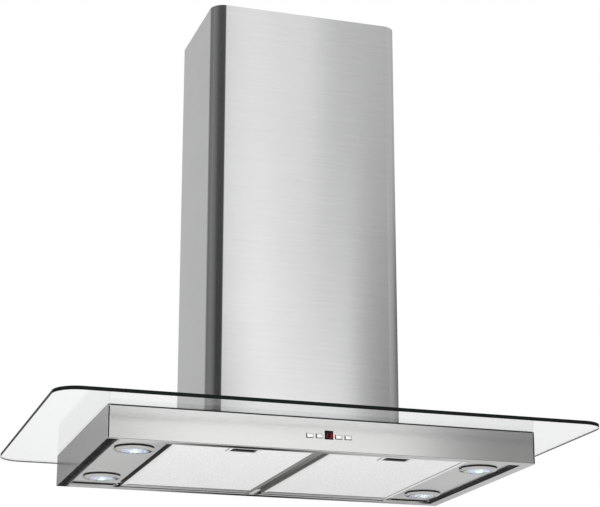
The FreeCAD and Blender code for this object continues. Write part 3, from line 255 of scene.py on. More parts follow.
def lens_glass(name):
    """The lamp's glass disc with a dimpled inner face."""
    made, t, shader = material(name, IOR=1.3, Transmission_Weight=1.0)
    at = t.place()
    dimples = t.cells(at, 420.0)
    t.put(shader.inputs["Base Color"], t.mix(t.span(dimples, 0.1, 0.6), (0.97, 0.98, 1.0), (0.86, 0.92, 1.0)))
    t.put(shader.inputs["Roughness"], t.span(dimples, 0.0, 0.6, 0.02, 0.1))
    t.put(shader.inputs["Normal"], t.bump(dimples, 0.35, 0.0006))
    return made


def cast_metal(name, colour, low, high, scale, grain=0.05, metallic=1.0, mark_scale=22.0, wear=0.88):
    """Plain metal with a fine matte surface and slight handling marks."""
    made, t, shader = material(name, Metallic=metallic)
    at = t.place()
    fine = t.noise(at, scale, 3.0, 0.6)
    marks = t.noise(at, mark_scale, 4.0, 0.6)
    t.put(shader.inputs["Base Color"], t.mix(t.span(marks, 0.3, 0.72), colour, times(colour, wear)))
    t.put(shader.inputs["Roughness"], t.math("ADD", t.spread(fine, low, high),
                                             t.span(marks, 0.4, 0.75, 0.0, 0.05)))
    t.put(shader.inputs["Normal"], t.bump(fine, grain, 0.0001))
    return made


def moulded(name, colour, low, high, scale=900.0, grain=0.12, lift=0.35, gloss=0.45):
    """Moulded plastic or rubber with a fine texture and faint rubbing on it."""
    made, t, shader = material(name, Specular_IOR_Level=gloss)
    at = t.place()
    fine = t.noise(at, scale, 3.0, 0.6)
    rub = t.noise(at, 30.0, 4.0, 0.62)
    paler = tuple(min(1.0, c + lift * 0.03 + c * lift * 0.4) for c in colour)
    t.put(shader.inputs["Base Color"], t.mix(t.span(rub, 0.42, 0.75), colour, paler))
    t.put(shader.inputs["Roughness"], t.math("ADD", t.spread(fine, low, high),
                                             t.span(rub, 0.4, 0.75, 0.0, 0.06)))
    t.put(shader.inputs["Normal"], t.bump(fine, grain, 0.0002))
    return made


def woven_metal(name, colour, shadow, pitch, bump=0.5):
    """Fine mesh: two sets of slanting strands that cross."""
    made, t, shader = material(name, Metallic=0.15)
    x, y, _ = t.parts(t.place())
    turn = math.tau / pitch
    slant = t.math("MULTIPLY", y, turn * 1.7)
    one = t.math("SINE", t.math("ADD", t.math("MULTIPLY", x, turn), slant))
    two = t.math("SINE", t.math("SUBTRACT", t.math("MULTIPLY", x, turn), slant))
    weave = t.math("MAXIMUM", one, two)
    dimming_and_painted_shade = t.noise(t.place(), 330.0, 3.0, 0.6)
    tone = t.math("MULTIPLY", t.span(weave, -0.6, 0.8), t.spread(dimming_and_painted_shade, 0.75, 1.0))
    t.put(shader.inputs["Base Color"], t.mix(tone, shadow, colour))
    t.put(shader.inputs["Roughness"], t.span(weave, -0.6, 0.8, 0.6, 0.42))
    t.put(shader.inputs["Normal"], t.bump(weave, bump, 0.0004))
    return made


def anodised(name, colour, steel_rear_from, bar_shade_from, bar_shade_to):
    """Matte anodised frame. Its rear lip is bright steel, its upright walls are painted dark grey as shade,
    and its lip beside the centre bar is painted near black as shade.
    """
    made, t, shader = material(name)
    at = t.place()
    x, y, _ = t.parts(at)
    # The rear lip gets a brighter, metallic and smoother finish.
    steel_rear = t.math("GREATER_THAN", y, steel_rear_from)
    # The lip beside the centre bar, which is painted near black as shade.
    inner = t.math("MULTIPLY", t.math("GREATER_THAN", x, bar_shade_from), t.math("LESS_THAN", x, bar_shade_to))
    fine = t.noise(t.stretch(at, (40.0, 1800.0, 1800.0)), 1.0, 3.0, 0.6)
    matte = t.mix(t.spread(fine), times(colour, 0.92), colour)
    steel = t.mix(t.spread(fine), (0.7, 0.7, 0.7), (0.78, 0.78, 0.78))
    # Upright walls are painted dark grey as shade.
    shaded_wall = t.math("LESS_THAN", t.flatness(), 0.5)
    face = t.mix(steel_rear, matte, steel)
    face = t.mix(shaded_wall, face, (0.3, 0.3, 0.29))
    # Painted shade: the near-black colour of the lip beside the centre bar.
    dimming_and_painted_shade = t.mix(t.spread(fine), (0.17, 0.17, 0.16), (0.21, 0.21, 0.2))
    t.put(shader.inputs["Base Color"], t.mix(inner, face, dimming_and_painted_shade))
    steely = t.math("SUBTRACT", t.math("MAXIMUM", steel_rear, shaded_wall), inner, clamp=True)
    t.put(shader.inputs["Metallic"], t.blend(steely, 0.15, 1.0))
    t.put(shader.inputs["Roughness"], t.math("ADD", t.blend(steel_rear, 0.5, 0.26), t.spread(fine, 0.0, 0.06)))
    t.put(shader.inputs["Normal"], t.bump(fine, 0.08, 0.0001))
    return made


def lit(name, colour, glow, strength, roughness=0.3, mottled=60.0, gloss=0.5, metallic=0.0):
    """A surface that gives light of its own."""
    made, t, shader = material(name, Emission_Strength=strength, Specular_IOR_Level=gloss, Metallic=metallic)
    fine = t.spread(t.noise(t.place(), mottled, 3.0, 0.5))
    t.put(shader.inputs["Base Color"], t.mix(fine, colour, times(colour, 0.9)))
    t.put(shader.inputs["Roughness"], t.span(fine, 0.0, 1.0, roughness, roughness + 0.1))
    t.put(shader.inputs["Emission Color"], t.mix(fine, glow, times(glow, 0.85)))
    return made


def board_finish(name):
    """Green circuit board with tracks under its mask."""
    made, t, shader = material(name, Specular_IOR_Level=0.5)
    at = t.place()
    tracks = t.cells(at, 260.0, "DISTANCE_TO_EDGE")
    weave = t.noise(at, 1200.0, 2.0, 0.5)
    lined = t.mix(t.math("LESS_THAN", tracks, 0.08), (0.03, 0.16, 0.06), (0.07, 0.3, 0.12))
    t.put(shader.inputs["Base Color"], t.mix(t.spread(weave, 0.0, 0.35), lined, (0.02, 0.12, 0.05)))
    t.put(shader.inputs["Roughness"], t.spread(weave, 0.22, 0.34))
    t.put(shader.inputs["Normal"], t.bump(tracks, 0.1, 0.0001))
    return made


STEEL = (0.72, 0.72, 0.715)
FINISH = {
    "front": brushed("steel_front", STEEL, "X", 0.125, 0.99),
    "body": brushed("steel_body", STEEL, "level", 0.12, flat_depth=0.1, flat_roughness=0.015),
    "chimney": brushed("steel_chimney", (0.73, 0.73, 0.735), "level", 0.13, 0.95),
    "panel": brushed("steel_panel", (0.83, 0.83, 0.825), "Y", 0.17, 0.5, flat_depth=0.2),
    "zinc": zinc_sheet("zinc_sheet"),
    "glass": sheet_glass("sheet_glass"),
    "lens": lens_glass("lens_glass"),
    "ring": cast_metal("satin_ring", (0.76, 0.76, 0.75), 0.07, 0.12, 1500.0, 0.02),
    "button": cast_metal("bright_button", (0.96, 0.96, 0.95), 0.08, 0.14, 2500.0, 0.02),
    # The last three numbers: where the bright steel rear lip starts, and the span of x beside the centre bar
    # that is painted near black as shade.
    "filter_frame": anodised("filter_frame", (0.72, 0.72, 0.72), 0.178, -0.0165, 0.0104),
    "mesh": woven_metal("filter_mesh", (0.74, 0.74, 0.74), (0.44, 0.44, 0.44), 0.0042),
    "strand": cast_metal("mesh_strand", (0.84, 0.84, 0.84), 0.5, 0.6, 1200.0, metallic=0.15,
                         mark_scale=330.0, wear=0.74),
    "black": moulded("black_plastic", (0.012, 0.012, 0.012), 0.38, 0.5),
    "fan": moulded("fan_plastic", (0.055, 0.056, 0.06), 0.42, 0.55, 500.0),
    "flap": moulded("flap_plastic", (0.16, 0.16, 0.165), 0.4, 0.5, 500.0),
    "rubber": moulded("rubber_seal", (0.012, 0.012, 0.012), 0.62, 0.75, 700.0, 0.2),
    "motor": moulded("motor_paint", (0.2, 0.205, 0.21), 0.3, 0.42, 240.0, 0.15),
    "tin": cast_metal("tin_can", (0.62, 0.62, 0.6), 0.25, 0.35, 600.0),
    "laminate": moulded("iron_core", (0.24, 0.245, 0.25), 0.4, 0.5, 300.0, 0.2),
    "plated": cast_metal("zinc_plated", (0.66, 0.67, 0.68), 0.24, 0.34, 900.0, 0.08),
    # The reflector bowls give light of their own as a painted highlight; they are no lamp.
    "reflector": lit("reflector_painted_glow", (0.88, 0.92, 0.97), (0.84, 0.92, 1.0), 0.9, 0.04, 400.0,
                     metallic=0.95),
    "ceramic": moulded("lamp_ceramic", (0.76, 0.75, 0.71), 0.5, 0.65, 400.0, 0.2, 0.2),
    "bulb": lit("lamp_glow", (0.9, 0.95, 1.0), (0.86, 0.93, 1.0), 6.0),
    "window": moulded("display_window", (0.003, 0.003, 0.003), 0.06, 0.1, 200.0, 0.01, 0.1, 0.1),
    "digit": lit("display_digit", (0.08, 0.0, 0.003), (0.5, 0.0, 0.012), 1.0, gloss=0.02),
    "segment_block": moulded("display_block", (0.12, 0.012, 0.014), 0.3, 0.4, 300.0),
    "board": board_finish("circuit_board"),
    "wire": moulded("wire_sheath", (0.4, 0.4, 0.41), 0.42, 0.52, 500.0),
}
NODE_FINISH = {
    "canopy_shell": "body", "front_fascia": "front", "deck_plate": "zinc", "centre_bar": "panel",
    "lamp_panel_left": "panel", "lamp_panel_right": "panel", "glass_panel": "glass",
    "glass_gaskets": "rubber", "screws": "plated", "hex_bolts": "plated",
    "display_window": "window", "display_module": "segment_block", "control_carrier": "black",
    "control_board": "board", "electronics_box": "black", "main_board": "board",
    "motor_capacitor": "tin", "terminal_block": "ceramic", "lighting_transformer": "laminate",
    "cable_gland": "black", "wiring": "wire", "chimney_cover": "chimney",
    "chimney_rear_cover": "chimney", "upper_chimney_cover": "chimney", "lower_frame": "zinc",
    "upper_uprights": "zinc", "ceiling_plate": "zinc", "blower_box": "zinc",
    "blower_casing_left": "fan", "blower_casing_right": "fan", "inlet_ring": "zinc",
    "motor": "motor", "motor_bracket": "zinc", "motor_shaft": "plated", "impeller": "fan",
    "outlet_collar": "fan", "flap_spindle": "plated", "check_flap_front": "flap",
    "check_flap_rear": "flap", "filter_frame_left": "filter_frame",
    "filter_frame_right": "filter_frame", "filter_mesh_left": "mesh", "filter_mesh_right": "mesh",
    "filter_latch_left": "black", "filter_latch_right": "black", "lamp_cups": "zinc",
    "lamp_reflectors": "reflector", "lamp_bulbs": "ceramic",
}
for lamp in LAMPS:
    NODE_FINISH[f"lamp_ring_{lamp}"] = "ring"
    NODE_FINISH[f"lamp_lens_{lamp}"] = "lens"
for number in BUTTONS:
    NODE_FINISH[f"button_{number}"] = "button"


def paint(piece, finish):
    """Gives a piece one of the finishes."""
    piece.data.materials.clear()
    piece.data.materials.append(FINISH[finish])


for node, finish in NODE_FINISH.items():
    item = frame["nodes"][node]
    for place in item.material_slots:
        place.material = FINISH[finish]


# ------------------------------------------------------------------ pieces
def body_of(node):
    """The body that a CAD node rides on."""
    for body, members in frame["record"]["behaviour"]["bodies"].items():
        if node in members:
            return body
    return "root"


def from_bmesh(bm, name, body, finish):
    """A piece from a bmesh, riding on a body."""
    mesh = bpy.data.meshes.new(name)
    bm.to_mesh(mesh)
    bm.free()
    piece = bpy.data.objects.new(name, mesh)
    SCENE.collection.objects.link(piece)
    paint(piece, finish)
    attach(piece, body)
    return piece


def dressed(node, width=0.0003):
    """Stands for a CAD node: the same sheet with fine rounded edges and smooth shading."""
    same_plane, corner = math.radians(0.2), math.radians(32.0)
    bm = bmesh.new()
    bm.from_mesh(frame["nodes"][node].data)
    bmesh.ops.remove_doubles(bm, verts=bm.verts, dist=MERGE)
    bmesh.ops.dissolve_limit(bm, angle_limit=same_plane, verts=bm.verts, edges=bm.edges)
    piece = from_bmesh(bm, f"{node}_sheet", body_of(node), NODE_FINISH[node])
    piece.data.shade_smooth()
    piece.data.set_sharp_from_angle(angle=corner)
    rounding = piece.modifiers.new("edges", "BEVEL")
    rounding.width = width
    rounding.segments = 2
    rounding.limit_method = "ANGLE"
    rounding.angle_limit = corner
    rounding.harden_normals = True
    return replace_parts(piece, node)


for node in ("canopy_shell", "front_fascia", "centre_bar", "lamp_panel_left", "lamp_panel_right",
             "filter_frame_left", "filter_frame_right", "chimney_cover", "chimney_rear_cover",
             "upper_chimney_cover"):
    dressed(node)


def finish_faces(piece, finish, wanted):
    """Gives the faces that are wanted a second finish."""
    piece.data.materials.append(FINISH[finish])
    second = len(piece.data.materials) - 1
    for face in piece.data.polygons:
        if wanted(face):
            face.material_index = second


# A button's face whose normal has less than this along y is one of its sides. The sides are painted black as
# shade.
FACES_FRONT = 0.75
for number in BUTTONS:
    cap = dressed(f"button_{number}", 0.0001)
    # Painted shade: the buttons' sides are black.
    finish_faces(cap, "black", lambda face: abs(face.normal.y) < FACES_FRONT)


def middle_of(node):
    """The middle of a node in plan."""
    low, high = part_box(node)
    return (low.x + high.x) / 2, (low.y + high.y) / 2


# A lamp ring's section in millimetres, as radius and height above its face: the opening, the coned
# face, the step under the rim (painted black as shade), the sleeve in the panel, and the seat of the glass.
RING_SECTION = (
    (21.5, 1.0), (21.6, 0.5), (22.1, 0.15), (22.9, 0.0),
    (24.5, 0.05), (28.5, 0.9), (31.4, 2.2), (32.6, 2.95), (32.8, 3.2),
    (31.6, 3.4), (31.6, 5.0), (27.6, 5.0),
    (27.6, 14.0), (26.4, 14.0), (26.4, 3.4), (23.8, 3.4), (23.8, 1.0))
RING_TURNS = 120
NOTCH_HALF, NOTCH_R, NOTCH_FROM, NOTCH_TO = math.radians(7.5), 30.4, 1.0, 5.1
# The step faces that are painted black as shade lie between these heights above the ring's face and outside
# this radius.
STEP_FROM, STEP_TO, STEP_INNER_R = 0.0034, 0.00495, 0.029


def ring_section(bm, cx, cy, low, angle, notched):
    """One upright section of a lamp ring, drawn in where the prising notch is."""
    verts = []
    for r, z in RING_SECTION:
        if notched and NOTCH_FROM < z < NOTCH_TO and r > NOTCH_R:
            r = NOTCH_R
        x, y = cx + r * MM * math.cos(angle), cy + r * MM * math.sin(angle)
        verts.append(bm.verts.new((x, y, low + z * MM)))
    return verts


def turned_ring(lamp):
    """Stands for a lamp ring: a turned section with a prising notch on its inner side."""
    node = f"lamp_ring_{lamp}"
    cx, cy = middle_of(node)
    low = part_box(node)[0].z
    notch_at = math.pi if cx > 0 else 0.0
    bm = bmesh.new()
    sections = []
    for k in range(RING_TURNS):
        angle = math.tau * k / RING_TURNS
        off = abs((angle - notch_at + math.pi) % math.tau - math.pi)
        sections.append(ring_section(bm, cx, cy, low, angle, off <= NOTCH_HALF))
    for k in range(RING_TURNS):
        one, two = sections[k], sections[(k + 1) % RING_TURNS]
        for j in range(len(one)):
            i = (j + 1) % len(one)
            bm.faces.new((one[j], two[j], two[i], one[i]))
    bmesh.ops.dissolve_degenerate(bm, dist=MERGE, edges=bm.edges)
    bmesh.ops.recalc_face_normals(bm, faces=bm.faces)
    piece = from_bmesh(bm, f"{node}_turned", body_of(node), "ring")
    piece.data.shade_smooth()
    piece.data.set_sharp_from_angle(angle=math.radians(30.0))
    # The step under the rim is painted black as shade.
    finish_faces(piece, "black", lambda face: STEP_FROM < face.center.z - low < STEP_TO
                 and math.hypot(face.center.x - cx, face.center.y - cy) > STEP_INNER_R)
    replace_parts(piece, node)


for lamp in LAMPS:
    turned_ring(lamp)


def black_shade_strip(name, start, end, section):
    """A long thin black strip with rounded edges, from one point to another, put where shade falls."""
    wide, high = section
    up = Vector((0, 0, 1))
    across = (Vector(end) - Vector(start)).normalized().cross(up)
    corners = ((-1, -1), (1, -1), (1, 1), (-1, 1))
    bm = bmesh.new()
    near, far = ([bm.verts.new(Vector(point) + across * wide * a / 2 + up * high * b / 2)
                  for a, b in corners] for point in (start, end))
    for k in range(len(corners)):
        following = (k + 1) % len(corners)
        bm.faces.new((near[k], near[following], far[following], far[k]))
    bm.faces.new(near[::-1])
    bm.faces.new(far)
    bmesh.ops.recalc_face_normals(bm, faces=bm.faces)
    piece = from_bmesh(bm, name, "hood", "rubber")
    rounding = piece.modifiers.new("edges", "BEVEL")
    rounding.width = min(wide, high) * 0.3
    rounding.segments = 3


def front_shade_bead():
    """A black rubber bead between the glass and the fascia's top edge; it is painted shade for the dark gap
    there.
    """
    low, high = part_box("front_fascia")
    glass_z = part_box("glass_panel")[0].z
    tall, deep, inset, end_gap = 0.0023, 0.0016, 0.0003, 0.001
    y, z = low.y + inset, glass_z - tall / 2
    black_shade_strip("front_painted_shade_bead", (low.x + end_gap, y, z), (high.x - end_gap, y, z), (deep, tall))


def panel_shade_strips(side, sign):
    """Black strips on the inside of the flange's lips, beside and behind a lamp panel: painted shade for the
    dark gaps there.
    """
    low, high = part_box(f"lamp_panel_{side}")
    inner, outer = sorted((abs(low.x), abs(high.x)))
    lip, thick, off, below = 0.001, 0.0004, 0.0002, 0.0001
    x, front, rear = sign * (outer - lip - off), low.y + lip, high.y - lip
    clear, rear_tall = 0.0016, 0.0016
    black_shade_strip(f"edge_shade_strip_{side}", (x, front, low.z / 2), (x, rear, low.z / 2), (thick, low.z - clear))
    y, z = rear - off, low.z - rear_tall / 2 - below
    black_shade_strip(f"rear_shade_strip_{side}", (sign * (inner + lip), y, z), (sign * (outer - lip), y, z),
         (thick, rear_tall))


front_shade_bead()
for side, sign in zip(SIDES, (-1, 1)):
    panel_shade_strips(side, sign)


STRAND_W, STRAND_RISE, STRAND_SKEW = 0.00045, 0.0005, 0.00012
STRAND_FACES = 3


def strand_section(bm, x, y, z):
    """The open U of a strand's section, whose legs reach up to the mesh."""
    top = z + STRAND_RISE
    points = ((-STRAND_W, top), (-STRAND_W, z + STRAND_SKEW), (STRAND_W, z), (STRAND_W, top - STRAND_SKEW))
    return [bm.verts.new((x, y + dy, height)) for dy, height in points]


def lattice(side):
    """Expanded metal over a filter's face: zigzag strands that meet in diamonds."""
    low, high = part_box(f"filter_mesh_{side}")
    latch_low, latch_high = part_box(f"filter_latch_{side}")
    lip, rear_lip, below = 0.0062, 0.0192, 0.00055
    gap, rear_gap = 0.0062, 0.0115
    half_x, half_y = 0.0021, 0.00125
    x0, y0 = low.x + lip, low.y + lip
    across, along = int((high.x - lip - x0) / half_x), int((high.y - rear_lip - y0) / half_y) - 1
    bm = bmesh.new()
    for row in range(along):
        previous = None
        for i in range(across + 1):
            x = x0 + half_x * i
            y = y0 + half_y * (row + 0.5) + half_y * (0.5 if (i + row) % 2 else -0.5)
            if latch_low.x - gap < x < latch_high.x + gap and y < latch_high.y + rear_gap:
                previous = None
                continue
            section = strand_section(bm, x, y, low.z - below)
            if previous:
                for k in range(STRAND_FACES):
                    bm.faces.new((previous[k], previous[k + 1], section[k + 1], section[k]))
            previous = section
    from_bmesh(bm, f"filter_lattice_{side}", f"filter_{side}", "strand")


for side in SIDES:
    lattice(side)


def round_row(bm, cx, cy, radius, heights, turn=0.0):
    """A row of points round a lamp's axis, each at its own height."""
    angles = [turn + math.tau * k / len(heights) for k in range(len(heights))]
    return [bm.verts.new((cx + radius * math.cos(angle), cy + radius * math.sin(angle), z))
            for angle, z in zip(angles, heights)]


def reflector(lamp):
    """A faceted bowl round the capsule lamp."""
    cx, cy = middle_of(f"lamp_lens_{lamp}")
    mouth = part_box(f"lamp_lens_{lamp}")[1].z + 0.0016
    depth, wide, narrow, uneven = 0.0165, 0.0246, 0.0072, 0.0003
    narrowing, steepening = 1.25, 0.85
    sectors, tiers = 20, 6
    rng = random.Random(LAMPS.index(lamp) + 3)
    bm = bmesh.new()
    rows = []
    for tier in range(tiers + 1):
        share = tier / tiers
        radius = wide + (narrow - wide) * share ** narrowing
        height = mouth + depth * share ** steepening
        heights = [height + rng.uniform(-uneven, uneven) for _ in range(sectors)]
        rows.append(round_row(bm, cx, cy, radius, heights, math.pi / sectors * (tier % 2)))
    for tier, (lower, upper) in enumerate(zip(rows, rows[1:])):
        shift = tier % 2
        for k in range(sectors):
            a, b = lower[k], lower[(k + 1) % sectors]
            c, d = upper[(k + shift) % sectors], upper[(k + shift + 1) % sectors]
            bm.faces.new((a, b, c))
            bm.faces.new((b, d, c))
    return from_bmesh(bm, f"reflector_bowl_{lamp}", "hood", "reflector")


bowls = [reflector(lamp) for lamp in LAMPS]
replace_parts(bowls[0], "lamp_reflectors")

# The capsule's outline above its tip, as radius and height in metres.
CAPSULE_TIP = 0.0102
CAPSULE_OUTLINE = ((0.0028, 0.0105), (0.0044, 0.0122), (0.0049, 0.015), (0.0049, 0.0232))


def capsule(lamp):
    """The glowing glass capsule in a lamp."""
    cx, cy = middle_of(f"lamp_lens_{lamp}")
    turns = 24
    bm = bmesh.new()
    rows = [round_row(bm, cx, cy, r, [z] * turns) for r, z in CAPSULE_OUTLINE]
    tip = bm.verts.new((cx, cy, CAPSULE_TIP))
    for k in range(turns):
        bm.faces.new((tip, rows[0][(k + 1) % turns], rows[0][k]))
    for lower, upper in zip(rows, rows[1:]):
        for k in range(turns):
            bm.faces.new((lower[k], lower[(k + 1) % turns], upper[(k + 1) % turns], upper[k]))
    piece = from_bmesh(bm, f"lamp_capsule_{lamp}", "hood", "bulb")
    piece.data.shade_smooth()


for lamp in LAMPS:
    capsule(lamp)


# Where a digit's segments lie, in half widths and half heights, and whether they lie level.
SEGMENTS = {
    "a": (0, 1, True), "b": (1, 0.5, False), "c": (1, -0.5, False), "d": (0, -1, True),
    "g": (0, 0, True)}
DIGIT_SEGMENTS = {"1": "bc", "3": "abgcd"}
DIGIT_TALL, DIGIT_WIDE, SEGMENT_THICK, DIGIT_LEAN = 0.0070, 0.0036, 0.0012, 0.12


def segment_outline(level):
    """A segment's six corners round its own middle."""
    half = SEGMENT_THICK / 2
    long = (DIGIT_WIDE if level else DIGIT_TALL / 2) / 2 - SEGMENT_THICK * 0.35
    if level:
        return ((-long, 0), (-long + half, half), (long - half, half), (long, 0),
                (long - half, -half), (-long + half, -half))
    return ((0, -long), (half, -long + half), (half, long - half), (0, long),
            (-half, long - half), (-half, -long + half))


def digits(text):
    """Seven-segment digits just proud of the display window."""
    low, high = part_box("display_window")
    proud, depth, pitch = 0.00006, 0.0001, 0.0078
    aside, below = -0.0007, 0.0013
    y, middle = low.y - proud, (low.z + high.z) / 2 - below
    bm = bmesh.new()
    for place, digit in enumerate(text):
        cx = aside + (place - (len(text) - 1) / 2) * pitch
        for name in DIGIT_SEGMENTS[digit]:
            sx, sz, level = SEGMENTS[name]
            x, z = cx + sx * DIGIT_WIDE / 2, sz * DIGIT_TALL / 2
            bm.faces.new([bm.verts.new((x + px + DIGIT_LEAN * (z + pz), y, middle + z + pz))
                          for px, pz in segment_outline(level)])
    bmesh.ops.recalc_face_normals(bm, faces=bm.faces)
    extruded = bmesh.ops.extrude_face_region(bm, geom=bm.faces[:])
    moved = [v for v in extruded["geom"] if isinstance(v, bmesh.types.BMVert)]
    bmesh.ops.translate(bm, verts=moved, vec=(0, depth, 0))
    from_bmesh(bm, "display_digits", "hood", "digit")


digits("13")


# ------------------------------------------------------------------ stage, light and camera
FLOOR_R, FLOOR_Z, FADE_FROM, FADE_TO = 5.0, -1.62, 2.4, 4.8
WHITE = (1.0, 1.0, 1.0)


def floor_finish():
    """Pale and matte, clear from below, and fading out towards its rim."""
    made = bpy.data.materials.new("floor_pale")
    made.use_nodes = True
    t = Tree(made.node_tree)
    x, y, _ = t.parts(t.place())
    reach = t.math("SQRT", t.math("ADD", t.math("MULTIPLY", x, x), t.math("MULTIPLY", y, y)))
    away = t.step(reach, FADE_FROM, FADE_TO)
    hidden = t.math("MAXIMUM", away, t.add("ShaderNodeNewGeometry").outputs["Backfacing"])
    pale = t.add("ShaderNodeBsdfDiffuse")
    pale.inputs["Color"].default_value = (0.93, 0.93, 0.93, 1)
    through = t.add("ShaderNodeBsdfTransparent")
    both = t.add("ShaderNodeMixShader")
    t.put(both.inputs[0], hidden)
    t.put(both.inputs[1], pale.outputs[0])
    t.put(both.inputs[2], through.outputs[0])
    t.put(t.add("ShaderNodeOutputMaterial").inputs["Surface"], both.outputs[0])
    return made


def floor():
    """A pale round floor that fades into the background."""
    bm = bmesh.new()
    bmesh.ops.create_circle(bm, cap_ends=True, radius=FLOOR_R, segments=96)
    bmesh.ops.translate(bm, verts=bm.verts, vec=(0, 0, FLOOR_Z))
    mesh = bpy.data.meshes.new("floor")
    bm.to_mesh(mesh)
    bm.free()
    mesh.materials.append(floor_finish())
    plane = bpy.data.objects.new("floor", mesh)
    SCENE.collection.objects.link(plane)


floor()


# Cards of light and shade that the metal mirrors, in rings at four heights. Each stop is an azimuth
# in degrees, with 0 in front of the hood and 90 at its right, and the card's brightness there.
RING_LOW = (
    (-180, .34), (-170.6, .27), (-170.2, .28), (-169.6, .34), (-168.9, .39), (-167.5, .5), (-165.5, .58),
    (-140, .3), (-110, .2), (-60, .2), (-45, .1), (-30, .05), (5, .06), (8.5, .3), (10.8, .45),
    (12, .64), (13, .92), (14.1, 1.12), (15.7, 1.24), (17.3, 1.28), (18.9, 1.28), (20.5, 1.22),
    (21.4, .98), (22.2, .65), (22.8, .4), (23.5, .3), (25, .29), (60, .3), (100, .3), (180, .36))
RING_MIDDLE = (
    (-180, .57), (-158, .57), (-140, .3), (-131, .15), (-95, .24), (-65, .18), (-46, .08), (-39, .04),
    (2, .045), (6, .12), (8, .5), (10, 1.0), (12, 1.3), (14, 1.3), (15.2, 1.1), (16.3, .92),
    (17.8, .83), (19.3, .74), (20.4, .86), (21.3, .84), (22.2, .55), (23, .38), (26, .36), (30, .6),
    (65, .38), (90, .19), (115, .12), (150, .11), (165, .3), (180, .57))
RING_HIGH = (
    (-180, .57), (-158, .57), (-145, .3), (-131, .19), (-95, .25), (-65, .16), (-46, .09), (-14, .07),
    (2, .08), (6, .18), (8, .5), (10, .85), (12, 1.0), (14, .98), (15.2, .9), (16.3, .89),
    (17.3, .94), (18.3, .93), (19.3, .79), (19.9, .63), (24, .6), (40, .6), (75, .65), (105, .58),
    (141, .5), (180, .57))
RING_UNDER = (
    (-180, .5), (-169, .5), (-165, .02), (-150, .02), (-145, .6), (-100, .5), (-80, .06), (4, .06),
    (9, .5), (13, .95), (20, .95), (22.5, .45), (25, .25), (34, .06), (80, .06), (100, .6), (140, .66),
    (155, .6), (159.5, .58), (160.3, .54), (161.1, .44), (162, .28), (162.7, .13), (163.3, .04),
    (165.3, .05), (165.9, .22), (166.6, .42), (167.3, .64), (169, .76), (170.5, .7), (180, .5))
# The heights, in degrees above the horizon, between which one ring passes into the next.
UNDER_TO_LOW, LOW_TO_MIDDLE = (-1.5, 1.5), (12.2, 12.9)
MIDDLE_TO_HIGH, HIGH_TO_ROOF = (15.0, 21.0), (32.0, 50.0)
# The shaded part of the under ring, which the rear flange mirrors.
REAR_RISE, REAR_AZIMUTH, REAR_LIGHT = (-10.1, -9.6), (156.0, 162.0), 0.45
# The dark card which the left flange mirrors: its place as x and y over the depth below the horizon.
CARD_LEFT, CARD_RIGHT, CARD_FRONT, CARD_COLOUR = 0.957, 1.0, 4.7, (0.015, 0.015, 0.015)
ROOM_LIGHT = (0.8, 0.8, 0.8)


def card_ring(t, around, stops):
    """A ring of cards; around runs from 0 to 1 as the azimuth does from -180 to 180 degrees."""
    return t.ramp(around, [(azimuth / 360.0 + 0.5, value) for azimuth, value in stops])


def flange_card(t, x, y, z):
    """1 on the narrow dark card below the horizon, 0 elsewhere."""
    depth = t.math("MULTIPLY", z, -1.0)
    across = t.math("DIVIDE", x, depth)
    inside = t.math("GREATER_THAN", across, CARD_LEFT)
    for limit in (t.math("LESS_THAN", across, CARD_RIGHT), t.math("LESS_THAN", z, 0.0),
                  t.math("GREATER_THAN", t.math("DIVIDE", y, depth), CARD_FRONT)):
        inside = t.math("MULTIPLY", inside, limit)
    return inside


def cards(t):
    """All the cards, by the direction in which a ray leaves."""
    x, y, z = t.parts(t.add("ShaderNodeTexCoord").outputs["Generated"])
    azimuth = t.math("ARCTAN2", x, t.math("MULTIPLY", y, -1.0))
    around = t.math("ADD", t.math("DIVIDE", azimuth, math.tau), 0.5)
    rise = t.math("MULTIPLY", t.math("ARCSINE", z), math.degrees(1.0))
    turn = t.math("MULTIPLY", azimuth, math.degrees(1.0))
    rear = t.math("MULTIPLY", t.step(rise, *REAR_RISE), t.step(turn, *REAR_AZIMUTH))
    under = t.scaled(card_ring(t, around, RING_UNDER), t.blend(rear, 1.0, REAR_LIGHT))
    low = card_ring(t, around, RING_LOW)
    middle = card_ring(t, around, RING_MIDDLE)
    high = card_ring(t, around, RING_HIGH)
    pattern = t.mix(t.step(rise, *LOW_TO_MIDDLE), low, middle)
    pattern = t.mix(t.step(rise, *MIDDLE_TO_HIGH), pattern, high)
    pattern = t.mix(t.step(rise, *UNDER_TO_LOW), under, pattern)
    pattern = t.mix(t.step(rise, *HIGH_TO_ROOF), pattern, ROOM_LIGHT)
    return t.mix(flange_card(t, x, y, z), pattern, CARD_COLOUR)


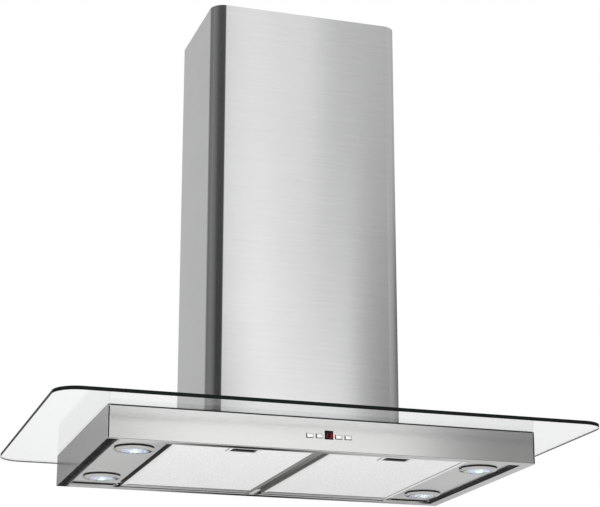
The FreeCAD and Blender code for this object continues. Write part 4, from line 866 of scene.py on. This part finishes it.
def studio():
    """White to the camera, cards to mirrored rays, and even light for the rest."""
    world = bpy.data.worlds.new("studio")
    SCENE.world = world
    world.use_nodes = True
    t = Tree(world.node_tree)
    path = t.add("ShaderNodeLightPath")
    mirrored = t.math("MINIMUM", path.outputs["Glossy Depth"], 1.0)
    through = t.math("SUBTRACT", path.outputs["Is Transmission Ray"], mirrored, clamp=True)
    shown = t.math("MAXIMUM", path.outputs["Is Camera Ray"], through)
    colour = t.mix(mirrored, ROOM_LIGHT, cards(t))
    back = t.add("ShaderNodeBackground")
    t.put(back.inputs["Color"], t.mix(shown, colour, WHITE))
    t.put(t.add("ShaderNodeOutputWorld").inputs["Surface"], back.outputs[0])


studio()


def soft_box(name, place, aim, size, power):
    """A large soft lamp that isn't mirrored in the metal."""
    light = bpy.data.lights.new(name, "AREA")
    light.shape = "RECTANGLE"
    light.size, light.size_y = size
    light.energy = power
    lamp = bpy.data.objects.new(name, light)
    lamp.location = place
    lamp.rotation_euler = (Vector(aim) - Vector(place)).to_track_quat("-Z", "Y").to_euler()
    lamp.visible_glossy = False
    SCENE.collection.objects.link(lamp)


soft_box("key_light", place=(-2.4, -2.6, 2.4), aim=(0, 0, 0.3), size=(1.8, 1.8), power=45.0)
soft_box("under_light", place=(-0.6, -1.2, -1.3), aim=(0, 0, 0), size=(1.6, 1.6), power=26.0)

CAMERA_PLACE, CAMERA_TILT, CAMERA_TURN = (-0.8747, -2.8326, -0.5373), 0.3044, -0.3064
LENS_MM, SENSOR_MM = 105.92, 36.0


def photo_camera():
    """Low in front of the hood and to its left, looking up."""
    data = bpy.data.cameras.new("camera")
    data.sensor_fit = "HORIZONTAL"
    data.sensor_width = SENSOR_MM
    data.lens = LENS_MM
    data.clip_end = 60.0
    camera = bpy.data.objects.new("camera", data)
    camera.location = CAMERA_PLACE
    camera.rotation_euler = (math.pi / 2 + CAMERA_TILT, 0.0, CAMERA_TURN)
    SCENE.collection.objects.link(camera)
    SCENE.camera = camera


photo_camera()
SCENE.view_settings.view_transform = "Standard"
